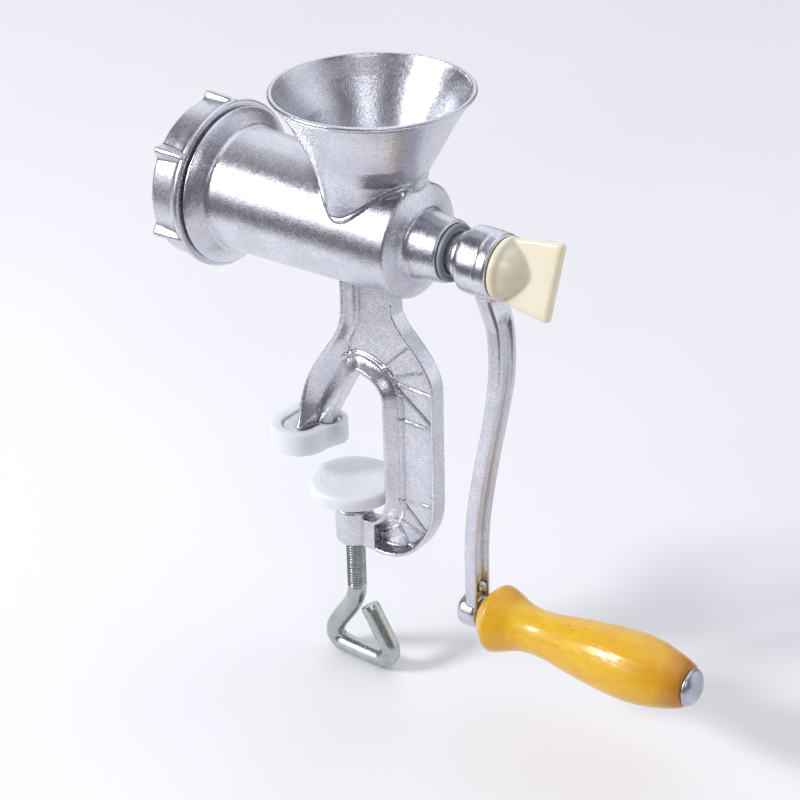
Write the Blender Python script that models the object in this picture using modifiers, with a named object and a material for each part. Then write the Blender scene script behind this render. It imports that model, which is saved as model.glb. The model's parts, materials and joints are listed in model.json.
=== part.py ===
"""Clamp-on hand-cranked mincing mill: a die-cast aluminium body with hopper, barrel and
C-shaped table clamp, a cranked auger with knife and hole plate, and a bent-rod clamp screw.

Metres, +Z up. Dimensions are in millimetres, and shapes are modelled about the clamp screw's
axis, at the height of the table top that the upper jaw pad rests on. At the end everything
moves along +X so that the origin is on the jaw pad's underside. The barrel's axis runs along X:
its rear, with the crank, is towards +X and its front, with the hole plate, towards -X. The
C-frame is a channel that is open towards -Y.
"""

import math

import bmesh
import bpy
from mathutils import Matrix, Vector
from mathutils.geometry import delaunay_2d_cdt

MM = 0.001

# ---- driving dimensions shared by several pieces, millimetres ----
DATUM_X = 26.0          # from the clamp screw's axis to the datum on the jaw pad's underside
AXIS_Z = 127.3          # barrel axis above the table top
GAP = 0.3               # clearance between mating pieces
OVERSHOOT = 2.0         # how far a cutter runs past the surface it opens

REAR_X = 44.6           # rear rim of the barrel
FRONT_X = -80.0         # front face of the barrel
NECK_END_X = 64.2       # rear end of the neck
THREAD_R = 36.5         # male thread of the barrel
SEAT_X = -77.0          # floor of the counterbore that the hole plate sits in
KEY_Z = AXIS_Z + 28.6   # pin that keys the hole plate to the barrel
KEY_PIN_R = 1.5

JOURNAL_R = 9.7
BUSH_OUT_R = 12.8
SQUARE = 13.4           # across the flats of the auger's drive end
PAD_FLOOR = 4.0         # floor of the jaw pad's recess


# ---- scene, collections and materials ----
def clear_scene():
    for obj in list(bpy.data.objects):
        bpy.data.objects.remove(obj, do_unlink=True)
    for blocks in (bpy.data.meshes, bpy.data.curves, bpy.data.materials):
        for item in list(blocks):
            blocks.remove(item)


def collection(name, hidden=False):
    result = bpy.data.collections.new(name)
    bpy.context.scene.collection.children.link(result)
    result.hide_render = hidden
    return result


def material(name, colour, roughness, metallic):
    result = bpy.data.materials.new(name)
    result.use_nodes = True
    shader = result.node_tree.nodes["Principled BSDF"]
    shader.inputs["Base Color"].default_value = (*colour, 1.0)
    shader.inputs["Roughness"].default_value = roughness
    shader.inputs["Metallic"].default_value = metallic
    return result


clear_scene()
MILL = collection("mincing_mill")
CUTTERS = collection("cutters", hidden=True)    # every boolean tool, added or cut away

CAST = material("cast_aluminium", colour=(0.62, 0.62, 0.66), roughness=0.28, metallic=1.0)
STEEL = material("steel", colour=(0.55, 0.56, 0.58), roughness=0.25, metallic=1.0)
ZINC = material("zinc_plated_steel", colour=(0.50, 0.52, 0.51), roughness=0.35, metallic=1.0)
WOOD = material("lacquered_wood", colour=(0.75, 0.40, 0.03), roughness=0.25, metallic=0.0)
WHITE = material("white_plastic", colour=(0.80, 0.81, 0.88), roughness=0.40, metallic=0.0)
CREAM = material("cream_plastic", colour=(0.82, 0.77, 0.60), roughness=0.25, metallic=0.0)
GREY = material("grey_plastic", colour=(0.22, 0.24, 0.30), roughness=0.45, metallic=0.0)


# ---- solids; one made without a material is a boolean tool ----
def add_object(name, bm, mat=None, smooth=True):
    """Object from a bmesh whose points are in millimetres."""
    bmesh.ops.scale(bm, vec=(MM, MM, MM), verts=bm.verts)
    bmesh.ops.recalc_face_normals(bm, faces=bm.faces)
    mesh = bpy.data.meshes.new(name)
    bm.to_mesh(mesh)
    bm.free()
    obj = bpy.data.objects.new(name, mesh)
    if mat is None:
        CUTTERS.objects.link(obj)
    else:
        MILL.objects.link(obj)
        mesh.materials.append(mat)
    if smooth:
        mesh.shade_smooth()
        mesh.set_sharp_from_angle(angle=math.radians(32))
    return obj


def temporary_object(name, data):
    obj = bpy.data.objects.new(name, data)
    bpy.context.scene.collection.objects.link(obj)
    return obj


def bake(obj, merge_dist):
    """Evaluated shape of a temporary object as a bmesh in metres; the object is removed."""
    bpy.context.view_layer.update()
    graph = bpy.context.evaluated_depsgraph_get()
    mesh = bpy.data.meshes.new_from_object(obj.evaluated_get(graph))
    data = obj.data
    blocks = bpy.data.curves if obj.type == "CURVE" else bpy.data.meshes
    bpy.data.objects.remove(obj, do_unlink=True)
    blocks.remove(data)
    bm = bmesh.new()
    bm.from_mesh(mesh)
    bpy.data.meshes.remove(mesh)
    bmesh.ops.remove_doubles(bm, verts=bm.verts, dist=merge_dist)
    return bm


def scale_to_mm(bm):
    bmesh.ops.scale(bm, vec=(1 / MM, 1 / MM, 1 / MM), verts=bm.verts)


def on_barrel(x):
    return (x, 0, AXIS_Z)


def from_z_to(axis):
    """Rotation that carries a shape made along Z onto the X axis, or leaves it on Z."""
    return Matrix.Rotation(math.pi / 2, 4, "Y") if axis == "X" else Matrix.Identity(4)


def lathe(name, profile, mat=None, steps=32, centre=on_barrel(0), axis="X", spin=0.0):
    """Turned solid or ring: profile is (distance along the axis, radius).
    A profile that starts and ends on the axis gives a solid; any other is closed into a ring.
    spin, in degrees, turns the facets about the axis."""
    bm = bmesh.new()
    verts = [bm.verts.new((radius * MM, 0, along * MM)) for along, radius in profile]
    pairs = list(zip(verts[:-1], verts[1:]))
    if profile[0][1] > 1e-6:
        pairs.append((verts[-1], verts[0]))
    for pair in pairs:
        bm.edges.new(pair)
    mesh = bpy.data.meshes.new(name)
    bm.to_mesh(mesh)
    bm.free()
    merge_dist = 0.00002
    obj = temporary_object(name, mesh)
    turning = obj.modifiers.new("Turn", "SCREW")
    turning.axis = "Z"
    turning.angle = math.tau
    turning.steps = steps
    turning.render_steps = steps
    turning.use_merge_vertices = True
    turning.merge_threshold = merge_dist
    bm = bake(obj, merge_dist)
    scale_to_mm(bm)
    turn = from_z_to(axis) @ Matrix.Rotation(math.radians(spin), 4, "Z")
    bmesh.ops.transform(bm, matrix=Matrix.Translation(Vector(centre)) @ turn, verts=bm.verts)
    return add_object(name, bm, mat)


def band(start, end, inner_r, outer_r):
    """Lathe profile of a plain washer."""
    return [(start, inner_r), (start, outer_r), (end, outer_r), (end, inner_r)]


def prism(name, outline, low, high, mat=None):
    """Flat (x, y) outline made into a slab between two heights."""
    curve = bpy.data.curves.new(name, "CURVE")
    curve.dimensions = "2D"
    curve.fill_mode = "BOTH"
    curve.extrude = (high - low) / 2 * MM
    spline = curve.splines.new("POLY")
    spline.points.add(len(outline) - 1)
    for point, (x, y) in zip(spline.points, outline):
        point.co = (x * MM, y * MM, 0, 1)
    spline.use_cyclic_u = True
    bm = bake(temporary_object(name, curve), merge_dist=0.000005)
    bmesh.ops.dissolve_limit(bm, angle_limit=0.001, verts=bm.verts, edges=bm.edges)
    scale_to_mm(bm)
    bmesh.ops.transform(bm, matrix=Matrix.Translation((0, 0, (low + high) / 2)), verts=bm.verts)
    return add_object(name, bm, mat)


def cylinder(name, radius, length, centre, mat=None, axis="X", steps=24):
    bm = bmesh.new()
    bmesh.ops.create_cone(bm, cap_ends=True, segments=steps, radius1=radius, radius2=radius,
                          depth=length)
    place = Matrix.Translation(Vector(centre)) @ from_z_to(axis)
    bmesh.ops.transform(bm, matrix=place, verts=bm.verts)
    return add_object(name, bm, mat)


def box(name, low, high, turn=Matrix.Identity(4)):
    """Box between two opposite corners."""
    bm = bmesh.new()
    bmesh.ops.create_cube(bm, size=1.0)
    bmesh.ops.scale(bm, vec=[b - a for a, b in zip(low, high)], verts=bm.verts)
    bmesh.ops.translate(bm, vec=[(a + b) / 2 for a, b in zip(low, high)], verts=bm.verts)
    bmesh.ops.transform(bm, matrix=turn, verts=bm.verts)
    return add_object(name, bm, smooth=False)


def square_bar(name, start, end, half):
    """Square bar along the barrel's axis, half is half its width."""
    return box(name, (start, -half, AXIS_Z - half), (end, half, AXIS_Z + half))


def rod(name, path, radius, mat):
    """Round rod along a path of points, with flat ends."""
    curve = bpy.data.curves.new(name, "CURVE")
    curve.dimensions = "3D"
    curve.bevel_depth = radius * MM
    curve.bevel_resolution = 2
    curve.use_fill_caps = True
    spline = curve.splines.new("POLY")
    spline.points.add(len(path) - 1)
    for point, (x, y, z) in zip(spline.points, path):
        point.co = (x * MM, y * MM, z * MM, 1)
    bm = bake(temporary_object(name, curve), merge_dist=0.000005)
    scale_to_mm(bm)
    return add_object(name, bm, mat)


def loft(name, rings):
    """Boolean tool skinned over successive closed rings, the first and the last filled."""
    bm = bmesh.new()
    rows = [[bm.verts.new(p) for p in ring] for ring in rings]
    for lower, upper in zip(rows[:-1], rows[1:]):
        count = len(lower)
        for i in range(count):
            j = (i + 1) % count
            bm.faces.new((lower[i], lower[j], upper[j], upper[i]))
    bm.faces.new(list(reversed(rows[0])))
    bm.faces.new(rows[-1])
    return add_object(name, bm)


def boolean(target, tool, operation):
    mod = target.modifiers.new(tool.name, "BOOLEAN")
    mod.operation = operation
    mod.solver = "EXACT"
    mod.object = tool
    tool.hide_render = True
    tool.display_type = "WIRE"


def join(target, tool):
    boolean(target, tool, "UNION")


def cut(target, tool):
    boolean(target, tool, "DIFFERENCE")


# ---- outlines and paths ----
def smooth_line(points, max_steps=3):
    """Catmull-Rom curve through the points; a point given twice stays a corner."""
    min_step = 2.6
    out = []
    count = len(points)
    for i in range(count - 1):
        p1, p2 = Vector(points[i]), Vector(points[i + 1])
        length = (p2 - p1).length
        if length < 1e-6:
            continue
        p0 = Vector(points[i - 1]) if i > 0 else p1
        p3 = Vector(points[i + 2]) if i + 2 < count else p2
        steps = max(1, min(max_steps, int(length / min_step)))
        for k in range(steps):
            t = k / steps
            out.append(0.5 * ((2 * p1) + (p2 - p0) * t + (2 * p0 - 5 * p1 + 4 * p2 - p3) * t * t
                              + (3 * p1 - p0 - 3 * p2 + p3) * t ** 3))
    out.append(Vector(points[-1]))
    return [tuple(p) for p in out]


def lobe(x, y, radius, step, count):
    """Arc of points, step degrees apart, anticlockwise from the -X side."""
    angles = [math.radians(180 + k * step) for k in range(count)]
    return [(x + radius * math.cos(a), y + radius * math.sin(a)) for a in angles]


def inward_normals(outline):
    """Mitred normals pointing into an anticlockwise outline."""
    count = len(outline)
    out = []
    for i in range(count):
        before, here, after = (Vector(outline[(i + k) % count]) for k in (-1, 0, 1))
        arriving, leaving = (here - before).normalized(), (after - here).normalized()
        normal = Vector((-arriving.y, arriving.x))
        mitre = normal + Vector((-leaving.y, leaving.x))
        mitre = mitre.normalized() if mitre.length > 1e-6 else normal
        out.append(mitre / max(0.5, mitre.dot(normal)))
    return out


def grow(outline, amount):
    return [(x - normal.x * amount, y - normal.y * amount)
            for (x, y), normal in zip(outline, inward_normals(outline))]


def outline_edges(outline):
    return zip(outline, outline[1:] + outline[:1])


def edge_distance(outline, point):
    """Distance from a point to the nearest edge of the outline."""
    best = 1e9
    px, py = point
    for (ax, ay), (bx, by) in outline_edges(outline):
        ex, ey = bx - ax, by - ay
        t = max(0.0, min(1.0, ((px - ax) * ex + (py - ay) * ey) / (ex * ex + ey * ey)))
        best = min(best, math.hypot(px - ax - t * ex, py - ay - t * ey))
    return best


def is_inside(outline, point):
    px, py = point
    hit = False
    for (ax, ay), (bx, by) in outline_edges(outline):
        if (ay > py) != (by > py) and px < ax + (py - ay) * (bx - ax) / (by - ay):
            hit = not hit
    return hit


def relief(outline, depths):
    """Triangles over the inside of the outline that follow lines at the given depths in."""
    min_spacing = 0.5
    points = [Vector(p) for p in outline]
    edges = [(i, (i + 1) % len(outline)) for i in range(len(outline))]
    normals = inward_normals(outline)
    for depth in depths:
        last = None
        for (x, y), normal in zip(outline + outline[:1], normals + normals[:1]):
            moved = (x + normal[0] * depth, y + normal[1] * depth)
            # break the line where offsets from two sides run into each other
            if not is_inside(outline, moved) or edge_distance(outline, moved) < depth * 0.93:
                last = None
                continue
            if last is not None and (Vector(moved) - points[last]).length < min_spacing:
                continue
            points.append(Vector(moved))
            if last is not None:
                edges.append((last, len(points) - 1))
            last = len(points) - 1
    inside_only, tolerance = 1, 0.02
    verts, _, faces, _, _, _ = delaunay_2d_cdt(
        points, edges, [list(range(len(outline)))], inside_only, tolerance)
    kept = []
    for face in faces:
        middle = sum((verts[i] for i in face), Vector((0, 0))) / len(face)
        if is_inside(outline, tuple(middle)):
            kept.append(face)
    return [tuple(v) for v in verts], kept


def rounded_path(corners, radii, steps):
    """Straight runs joined by circular bends, with a bend radius for each inner corner.
    A bend takes up at most 0.48 of the run on either side of it."""
    points = [Vector(c) for c in corners]
    out = [tuple(points[0])]
    for before, corner, after, radius in zip(points, points[1:], points[2:], radii):
        back, ahead = (before - corner).normalized(), (after - corner).normalized()
        angle = back.angle(ahead)
        reach = min(radius / math.tan(angle / 2), 0.48 * (before - corner).length,
                    0.48 * (after - corner).length)
        fitted = reach * math.tan(angle / 2)
        centre = corner + (back + ahead).normalized() * (fitted / math.sin(angle / 2))
        start, end = corner + back * reach - centre, corner + ahead * reach - centre
        sweep = start.angle(end)
        axis = start.cross(end).normalized()
        for k in range(steps + 1):
            out.append(tuple(centre + Matrix.Rotation(sweep * k / steps, 3, axis) @ start))
    out.append(tuple(points[-1]))
    return out


# ---- C-frame: a channel, open towards -Y ----
FRAME_FRONT = -4.5      # y of the open face
FRAME_BACK = 4.5        # y of the closed face
WEB_Y = 1.6             # y of the channel's floor

# Edge in (x, z), clockwise seen from the open side; repeated points are corners.
FRAME_OUTER = [         # from the barrel down the +X side and round to the screw boss
    (30.6, 112), (30.6, 88), (32.0, 84), (35.6, 79.0), (40.2, 74.4), (45.2, 69.4), (49.8, 63.6),
    (53.0, 57.6), (54.2, 51.0), (54.2, 44.0), (54.2, 44.0), (54.2, -12.0), (54.2, -12.0),
    (52.6, -20.6), (48.4, -29.6), (41.8, -38.4), (33.0, -45.0), (23.0, -48.2), (14.0, -48.2),
    (14.0, -48.2), (-4.0, -48.2)]
FRAME_INNER = [         # from the screw boss round the mouth of the C to the foot
    (-4.0, -34.0), (10.0, -34.0), (10.0, -34.0), (15.6, -32.6), (20.4, -28.2), (22.8, -22.0),
    (23.4, -16.0), (23.4, -16.0), (23.4, 34.0), (23.4, 34.0), (22.6, 40.4), (19.4, 45.2),
    (14.4, 48.0), (8.6, 49.6), (8.6, 49.6), (5.0, 45.4), (1.2, 39.4), (-3.6, 30.6), (-8.2, 22.0),
    (-12.4, 12.0), (-13.4, 8.0)]
FRAME_JAW_LEG = [       # from the foot up the -X side to the barrel
    (-24.6, 8.0), (-25.4, 14.0), (-26.2, 24.0), (-24.4, 34.0), (-20.4, 43.0), (-14.6, 52.2),
    (-8.6, 60.8), (-3.8, 68.8), (-1.4, 76.0), (-0.8, 84.0), (-0.8, 84.0), (-0.8, 112.0)]

# (distance in from the edge, share of the channel's depth reached there)
CHANNEL_STEPS = ((2.0, 0.0), (3.4, 0.58), (7.0, 1.0))

LEG_TOP, LEG_BOTTOM = 46.0, 8.0     # heights between which the jaw leg's flanges change
LEG_MAX_X = 14.0                    # the jaw leg lies on the -X side of this
LEG_MID_X = -20.0                   # middle of the leg at LEG_BOTTOM
LEG_SHIFT_X = 26.0                  # how far the middle moves towards +X up to LEG_TOP
LEG_HALF_WIDTH = 5.5


def frame_front(x, z):
    """y of the channel's open edge: the outer (-X) flange of the jaw leg flares out over the
    foot, and its inner (+X) flange falls back towards the channel's floor."""
    if x >= LEG_MAX_X or not 0 < z < LEG_TOP:
        return FRAME_FRONT
    height = LEG_TOP - LEG_BOTTOM
    down = (LEG_TOP - z) / height
    middle = LEG_MID_X + (z - LEG_BOTTOM) * LEG_SHIFT_X / height
    side = max(-1.0, min(1.0, (middle - x) / LEG_HALF_WIDTH))
    if side > 0:
        return FRAME_FRONT - 9.9 * side * down ** 2.2
    return FRAME_FRONT - 6.0 * side * down ** 1.6


def channel_share(distance):
    """Share of the channel's depth reached at a distance in from the edge."""
    if distance <= CHANNEL_STEPS[0][0]:
        return 0.0
    for (d0, share0), (d1, share1) in zip(CHANNEL_STEPS[:-1], CHANNEL_STEPS[1:]):
        if distance <= d1:
            return share0 + (share1 - share0) * (distance - d0) / (d1 - d0)
    return 1.0


def frame_y(outline, x, z):
    """y of the channelled -Y side at a point of the frame."""
    edge_y = frame_front(x, z)
    return edge_y + (WEB_Y - edge_y) * channel_share(edge_distance(outline, (x, z)))


def frame_plate():
    clockwise = smooth_line(FRAME_OUTER) + smooth_line(FRAME_INNER) + smooth_line(FRAME_JAW_LEG)
    outline = clockwise[::-1]
    bm = bmesh.new()
    rims = []
    for channelled in (True, False):
        depths = [distance for distance, _ in CHANNEL_STEPS] if channelled else []
        points, faces = relief(outline, depths)
        verts = [bm.verts.new((x, frame_y(outline, x, z) if channelled else FRAME_BACK, z))
                 for x, z in points]
        for face in faces:
            bm.faces.new([verts[i] for i in face])
        rims.append([
            verts[min(range(len(points)),
                      key=lambda i: (points[i][0] - x) ** 2 + (points[i][1] - z) ** 2)]
            for x, z in outline])
    front, back = rims
    for i in range(len(outline)):
        j = (i + 1) % len(outline)
        # the triangulation may have merged two neighbouring points
        if front[i] is front[j] or back[i] is back[j]:
            continue
        bm.faces.new((front[i], front[j], back[j], back[i]))
    return add_object("frame_plate", bm)


# ---- body: barrel, neck, hopper, C-frame, foot and screw boss in one casting ----
BARREL_REAR_R = 27.4
BARREL_FRONT_R = 30.6
BORE_R = 24.0           # auger chamber
SEAT_R = 31.4           # counterbore for the hole plate
BORE_END_X = 41.3       # step from the chamber to the bush's bore
FOOT_TOP = 11.2
BOSS_R = 9.8
BOSS_TOP = -30.0
BOSS_BOTTOM = -48.5
HOPPER_X = 19.6
HOPPER_RIM_Z = AXIS_Z + 68.8
HOPPER_R = 47.5
HOPPER_BORE_R = HOPPER_R - 2.2

BODY_PROFILE = [        # (x, radius) from the front face to the end of the neck
    (FRONT_X, 0.0), (FRONT_X, THREAD_R - 0.6), (FRONT_X + 0.6, THREAD_R), (-67.2, THREAD_R),
    (-66.9, 38.3), (-65.6, 38.6), (-60.0, 32.2), (-57.4, BARREL_FRONT_R),
    (REAR_X - 0.6, BARREL_REAR_R + 0.1), (REAR_X, BARREL_REAR_R - 0.5), (46.2, 22.6),
    (48.4, 16.7), (NECK_END_X - 0.6, 14.9), (NECK_END_X, 14.3), (NECK_END_X, 0.0)]
BOSS_PROFILE = [        # (z, radius)
    (BOSS_TOP, 0.0), (BOSS_TOP, BOSS_R - 1.0), (BOSS_TOP - 1.0, BOSS_R),
    (BOSS_BOTTOM + 2.0, BOSS_R), (BOSS_BOTTOM + 0.6, BOSS_R - 0.6), (BOSS_BOTTOM, BOSS_R - 2.0),
    (BOSS_BOTTOM, 0.0)]
CHAMBER_PROFILE = [     # (x, radius) through the plate's seat, the chamber and the neck
    (FRONT_X - OVERSHOOT, 0.0), (FRONT_X - OVERSHOOT, SEAT_R), (SEAT_X, SEAT_R),
    (SEAT_X, BORE_R), (40.0, BORE_R), (BORE_END_X, BORE_R - 1.3),
    (BORE_END_X, BUSH_OUT_R + GAP), (NECK_END_X + OVERSHOOT, BUSH_OUT_R + GAP),
    (NECK_END_X + OVERSHOOT, 0.0)]
HOPPER_PROFILE = [      # (depth below the rim, outer radius)
    (0.0, 0.0), (0.0, HOPPER_R - 0.7), (0.9, HOPPER_R), (2.4, HOPPER_R - 0.6), (8.8, 42.0),
    (18.8, 36.0), (28.8, 31.1), (38.8, 27.0), (48.8, 24.6), (66.0, 23.4), (66.0, 0.0)]
FUNNEL_PROFILE = [      # (depth below the rim, inner radius)
    (-OVERSHOOT, 0.0), (-OVERSHOOT, HOPPER_BORE_R), (0.6, HOPPER_BORE_R), (8.8, 39.6),
    (18.8, 33.5), (28.8, 28.6), (38.8, 24.2), (48.0, 19.0), (68.0, 17.4), (68.0, 0.0)]


def hopper_lathe(name, profile, spin=0.0):
    return lathe(name, [(HOPPER_RIM_Z - depth, radius) for depth, radius in profile],
                 axis="Z", centre=(HOPPER_X, 0, 0), spin=spin)


def foot_outline():
    """(x, y) anticlockwise: a round lobe on the -Y side, then the wider +Y part."""
    return lobe(x=-26.4, y=-8.2, radius=8.7, step=18, count=11) + smooth_line([
        (-17.5, -5.6), (-16.3, -3.5), (-14.1, -1.5), (-12.1, 0.8), (-11.3, 4.4), (-12.8, 8.0),
        (-16.4, 9.2), (-30.0, 9.2), (-34.0, 7.6), (-35.1, 3.8)], max_steps=2)


def build_body():
    body = lathe("body_casting", BODY_PROFILE, CAST)
    join(body, frame_plate())
    join(body, prism("foot_plate", foot_outline(), low=PAD_FLOOR + GAP, high=FOOT_TOP))
    join(body, lathe("screw_boss", BOSS_PROFILE, axis="Z", centre=(0, 0, 0)))
    join(body, hopper_lathe("hopper_outer", HOPPER_PROFILE))
    cut(body, lathe("chamber_cut", CHAMBER_PROFILE, spin=2.0))
    cut(body, hopper_lathe("funnel_cut", FUNNEL_PROFILE, spin=3.1))
    cut(body, cylinder("screw_hole_cut", radius=5.3, length=30, centre=(0, 0, -41), axis="Z"))
    cut(body, cylinder("key_hole_cut", radius=KEY_PIN_R + GAP, length=4.6,
                       centre=(-77.4, 0, KEY_Z), steps=12))


# ---- hole plate, its keying pin and the ring nut ----
PLATE_T = 6.0
PLATE_X = SEAT_X - GAP - PLATE_T / 2
PLATE_HOLE_R = 2.5
PLATE_HOLE_RINGS = (    # (holes in the ring, ring radius, start angle in radians)
    (6, 11.0, 0.0), (10, 18.0, 0.1), (14, 24.6, 0.0))

NUT_THREAD_R = 36.9     # female thread of the ring nut
NUT_PROFILE = [         # (x, radius)
    (-87.0, 28.6), (-87.0, 37.6), (-86.0, 38.9), (-73.4, 39.7), (-70.8, 41.4), (-69.0, 41.4),
    (-68.0, 39.6), (-68.0, NUT_THREAD_R), (-83.6, NUT_THREAD_R), (-83.6, 28.6)]
LUG_COUNT = 6
LUG_START_DEG = 23
LUG_RING_R = 39.0       # the lugs' axes lie on this circle
LUG_PROFILE = [         # (x, radius about the lug's own axis)
    (-87.1, 0.0), (-87.1, 4.0), (-86.4, 4.7), (-76.0, 4.7), (-73.4, 3.4), (-72.2, 0.0)]


def build_key_pin():
    cylinder("plate_key_pin", radius=KEY_PIN_R, length=5.2, centre=(-77.8, 0, KEY_Z),
             mat=STEEL, steps=12)


def build_plate():
    plate = cylinder("hole_plate", radius=31.0, length=PLATE_T, centre=on_barrel(PLATE_X),
                     mat=STEEL, steps=36)
    cut(plate, cylinder("plate_centre_cut", radius=5.0, length=20, centre=on_barrel(PLATE_X),
                        steps=20))
    cut(plate, box("plate_notch_cut", (-90, -1.9, AXIS_Z + 26.8), (-70, 1.9, AXIS_Z + 34)))
    number = 0
    for count, ring_r, phase in PLATE_HOLE_RINGS:
        for k in range(count):
            angle = math.tau * (k + 0.5) / count + phase
            y, z = ring_r * math.cos(angle), ring_r * math.sin(angle)
            if abs(y) < 5.0 and z > 21:     # too close to the notch
                continue
            number += 1
            cut(plate, cylinder("plate_hole_cut_%02d" % number, radius=PLATE_HOLE_R, length=20,
                                centre=(PLATE_X, y, AXIS_Z + z), steps=7))
    return plate


def build_nut():
    nut = lathe("ring_nut", NUT_PROFILE, CAST, steps=40)
    for k in range(LUG_COUNT):
        angle = math.radians(LUG_START_DEG + 360 // LUG_COUNT * k)
        centre = (0, LUG_RING_R * math.cos(angle), AXIS_Z + LUG_RING_R * math.sin(angle))
        join(nut, lathe("nut_lug_%d" % k, LUG_PROFILE, steps=12, centre=centre, spin=7.0))
    # clears the parts of the lugs that stand into the thread
    cut(nut, cylinder("nut_bore_cut", radius=NUT_THREAD_R + 0.05, length=23.6,
                      centre=on_barrel(-71.75), steps=40))
    return nut


# ---- rotor: auger, knife stud and cross knife; its washer and bush stay with the body ----
DRIVE_END_X = 88.4
SHOULDER_X = 39.4       # rear end of the auger's thick part
JOURNAL_END_X = 69.2
AUGER_PROFILE = [       # (x, radius)
    (-71.0, 0.0), (-71.0, 9.0), (20.0, 12.0), (SHOULDER_X, 14.4), (SHOULDER_X, JOURNAL_R),
    (JOURNAL_END_X, JOURNAL_R), (JOURNAL_END_X, 6.0), (DRIVE_END_X, 6.0), (DRIVE_END_X, 0.0)]

FLIGHT_X0, FLIGHT_X1 = -68.4, 35.0
FLIGHT_TURNS = -3.1
FLIGHT_STEPS_PER_TURN = 18
FLIGHT_ROOT_R = 6.0
FLIGHT_LOW_R = 8.0      # the height of the tip fades towards this at both ends
FLIGHT_TIP_R = 23.2
FLIGHT_HALF_ROOT, FLIGHT_HALF_TIP = 2.4, 1.2    # half widths along x

KNIFE_X = -74.2
BUSH_IN_R = 10.0
BUSH_PROFILE = [        # (x, radius), with a flange beyond the end of the neck
    (41.4, BUSH_IN_R), (41.4, BUSH_OUT_R), (NECK_END_X + 0.3, BUSH_OUT_R),
    (NECK_END_X + 0.3, 13.7), (NECK_END_X + 1.8, 13.7), (NECK_END_X + 2.3, 13.2),
    (NECK_END_X + 2.3, BUSH_IN_R)]


def auger_flight():
    """One helical flight: a tapered section carried along a helix, its ends closed."""
    bm = bmesh.new()
    count = int(abs(FLIGHT_TURNS) * FLIGHT_STEPS_PER_TURN)
    rows = []
    for i in range(count + 1):
        t = i / count
        angle = math.tau * FLIGHT_TURNS * t
        middle = FLIGHT_X0 + (FLIGHT_X1 - FLIGHT_X0) * t
        fade = min(1.0, 8.0 * t + 0.55, 8.0 * (1 - t) + 0.4)
        tip_r = FLIGHT_LOW_R + (FLIGHT_TIP_R - FLIGHT_LOW_R) * fade
        section = ((-FLIGHT_HALF_ROOT, FLIGHT_ROOT_R), (-FLIGHT_HALF_TIP, tip_r),
                   (FLIGHT_HALF_TIP, tip_r), (FLIGHT_HALF_ROOT, FLIGHT_ROOT_R))
        rows.append([bm.verts.new((middle + offset, radius * math.cos(angle),
                                   AXIS_Z + radius * math.sin(angle)))
                     for offset, radius in section])
    for this, following in zip(rows[:-1], rows[1:]):
        for k in range(4):
            j = (k + 1) % 4
            bm.faces.new((this[k], following[k], following[j], this[j]))
    bm.faces.new(rows[0])
    bm.faces.new(list(reversed(rows[-1])))
    return add_object("auger_flight", bm)


def build_auger():
    auger = lathe("auger", AUGER_PROFILE, CAST, steps=24)
    join(auger, auger_flight())
    join(auger, square_bar("drive_square", 66.0, DRIVE_END_X, half=SQUARE / 2))
    cut(auger, cylinder("tapped_hole_cut", radius=4.2, length=30, centre=on_barrel(85.0),
                        steps=20))
    cut(auger, cylinder("stud_hole_cut", radius=4.3, length=14, centre=on_barrel(-69.0),
                        steps=20))
    return auger


def build_knife_stud():
    stud = cylinder("knife_stud", radius=4.0, length=25.6, centre=on_barrel(-74.8), mat=STEEL,
                    steps=20)
    join(stud, square_bar("knife_square", -76.9, -71.3, half=4.6))
    return stud


def build_knife():
    knife = cylinder("cross_knife", radius=9.0, length=5.2, centre=on_barrel(KNIFE_X), mat=STEEL)
    for k in range(4):
        turn = (Matrix.Translation(on_barrel(KNIFE_X))
                @ Matrix.Rotation(math.radians(45 + 90 * k), 4, "X"))
        join(knife, box("knife_blade_%d" % k, (-2.6, -3.4, 5.0), (1.6, 3.4, 23.0), turn))
    cut(knife, square_bar("knife_square_cut", -80, -70, half=5.0))
    return knife


def build_bearing():
    lathe("thrust_washer", band(39.7, 40.9, inner_r=10.1, outer_r=15.6), WHITE, steps=24)
    lathe("bearing_bush", BUSH_PROFILE, GREY, steps=28)


# ---- the handle's axle, tilted about Y through the centre of the crank's eye ----
EYE_CENTRE = (73.8, 0, -63.8)
AXLE_TILT = math.radians(3.2)
AXLE_FRAME = (Matrix.Scale(MM, 4) @ Matrix.Translation(EYE_CENTRE)
              @ Matrix.Rotation(-AXLE_TILT, 4, "Y") @ Matrix.Scale(1 / MM, 4))


def on_axle(obj):
    """Carries a shape modelled along +X from the crank eye's centre onto the tilted axle."""
    obj.data.transform(AXLE_FRAME)
    return obj


def axle_lathe(name, profile, mat=None, steps=24, spin=0.0):
    return on_axle(lathe(name, profile, mat, steps=steps, centre=(0, 0, 0), spin=spin))


# ---- crank: hub, S-shaped arm and eye in one casting ----
HUB_X0, HUB_X1 = 75.6, 92.1
HUB_R = 16.0
SCREW_SEAT_X = 90.7     # floor of the recess for the thumb screw's washer

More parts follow.
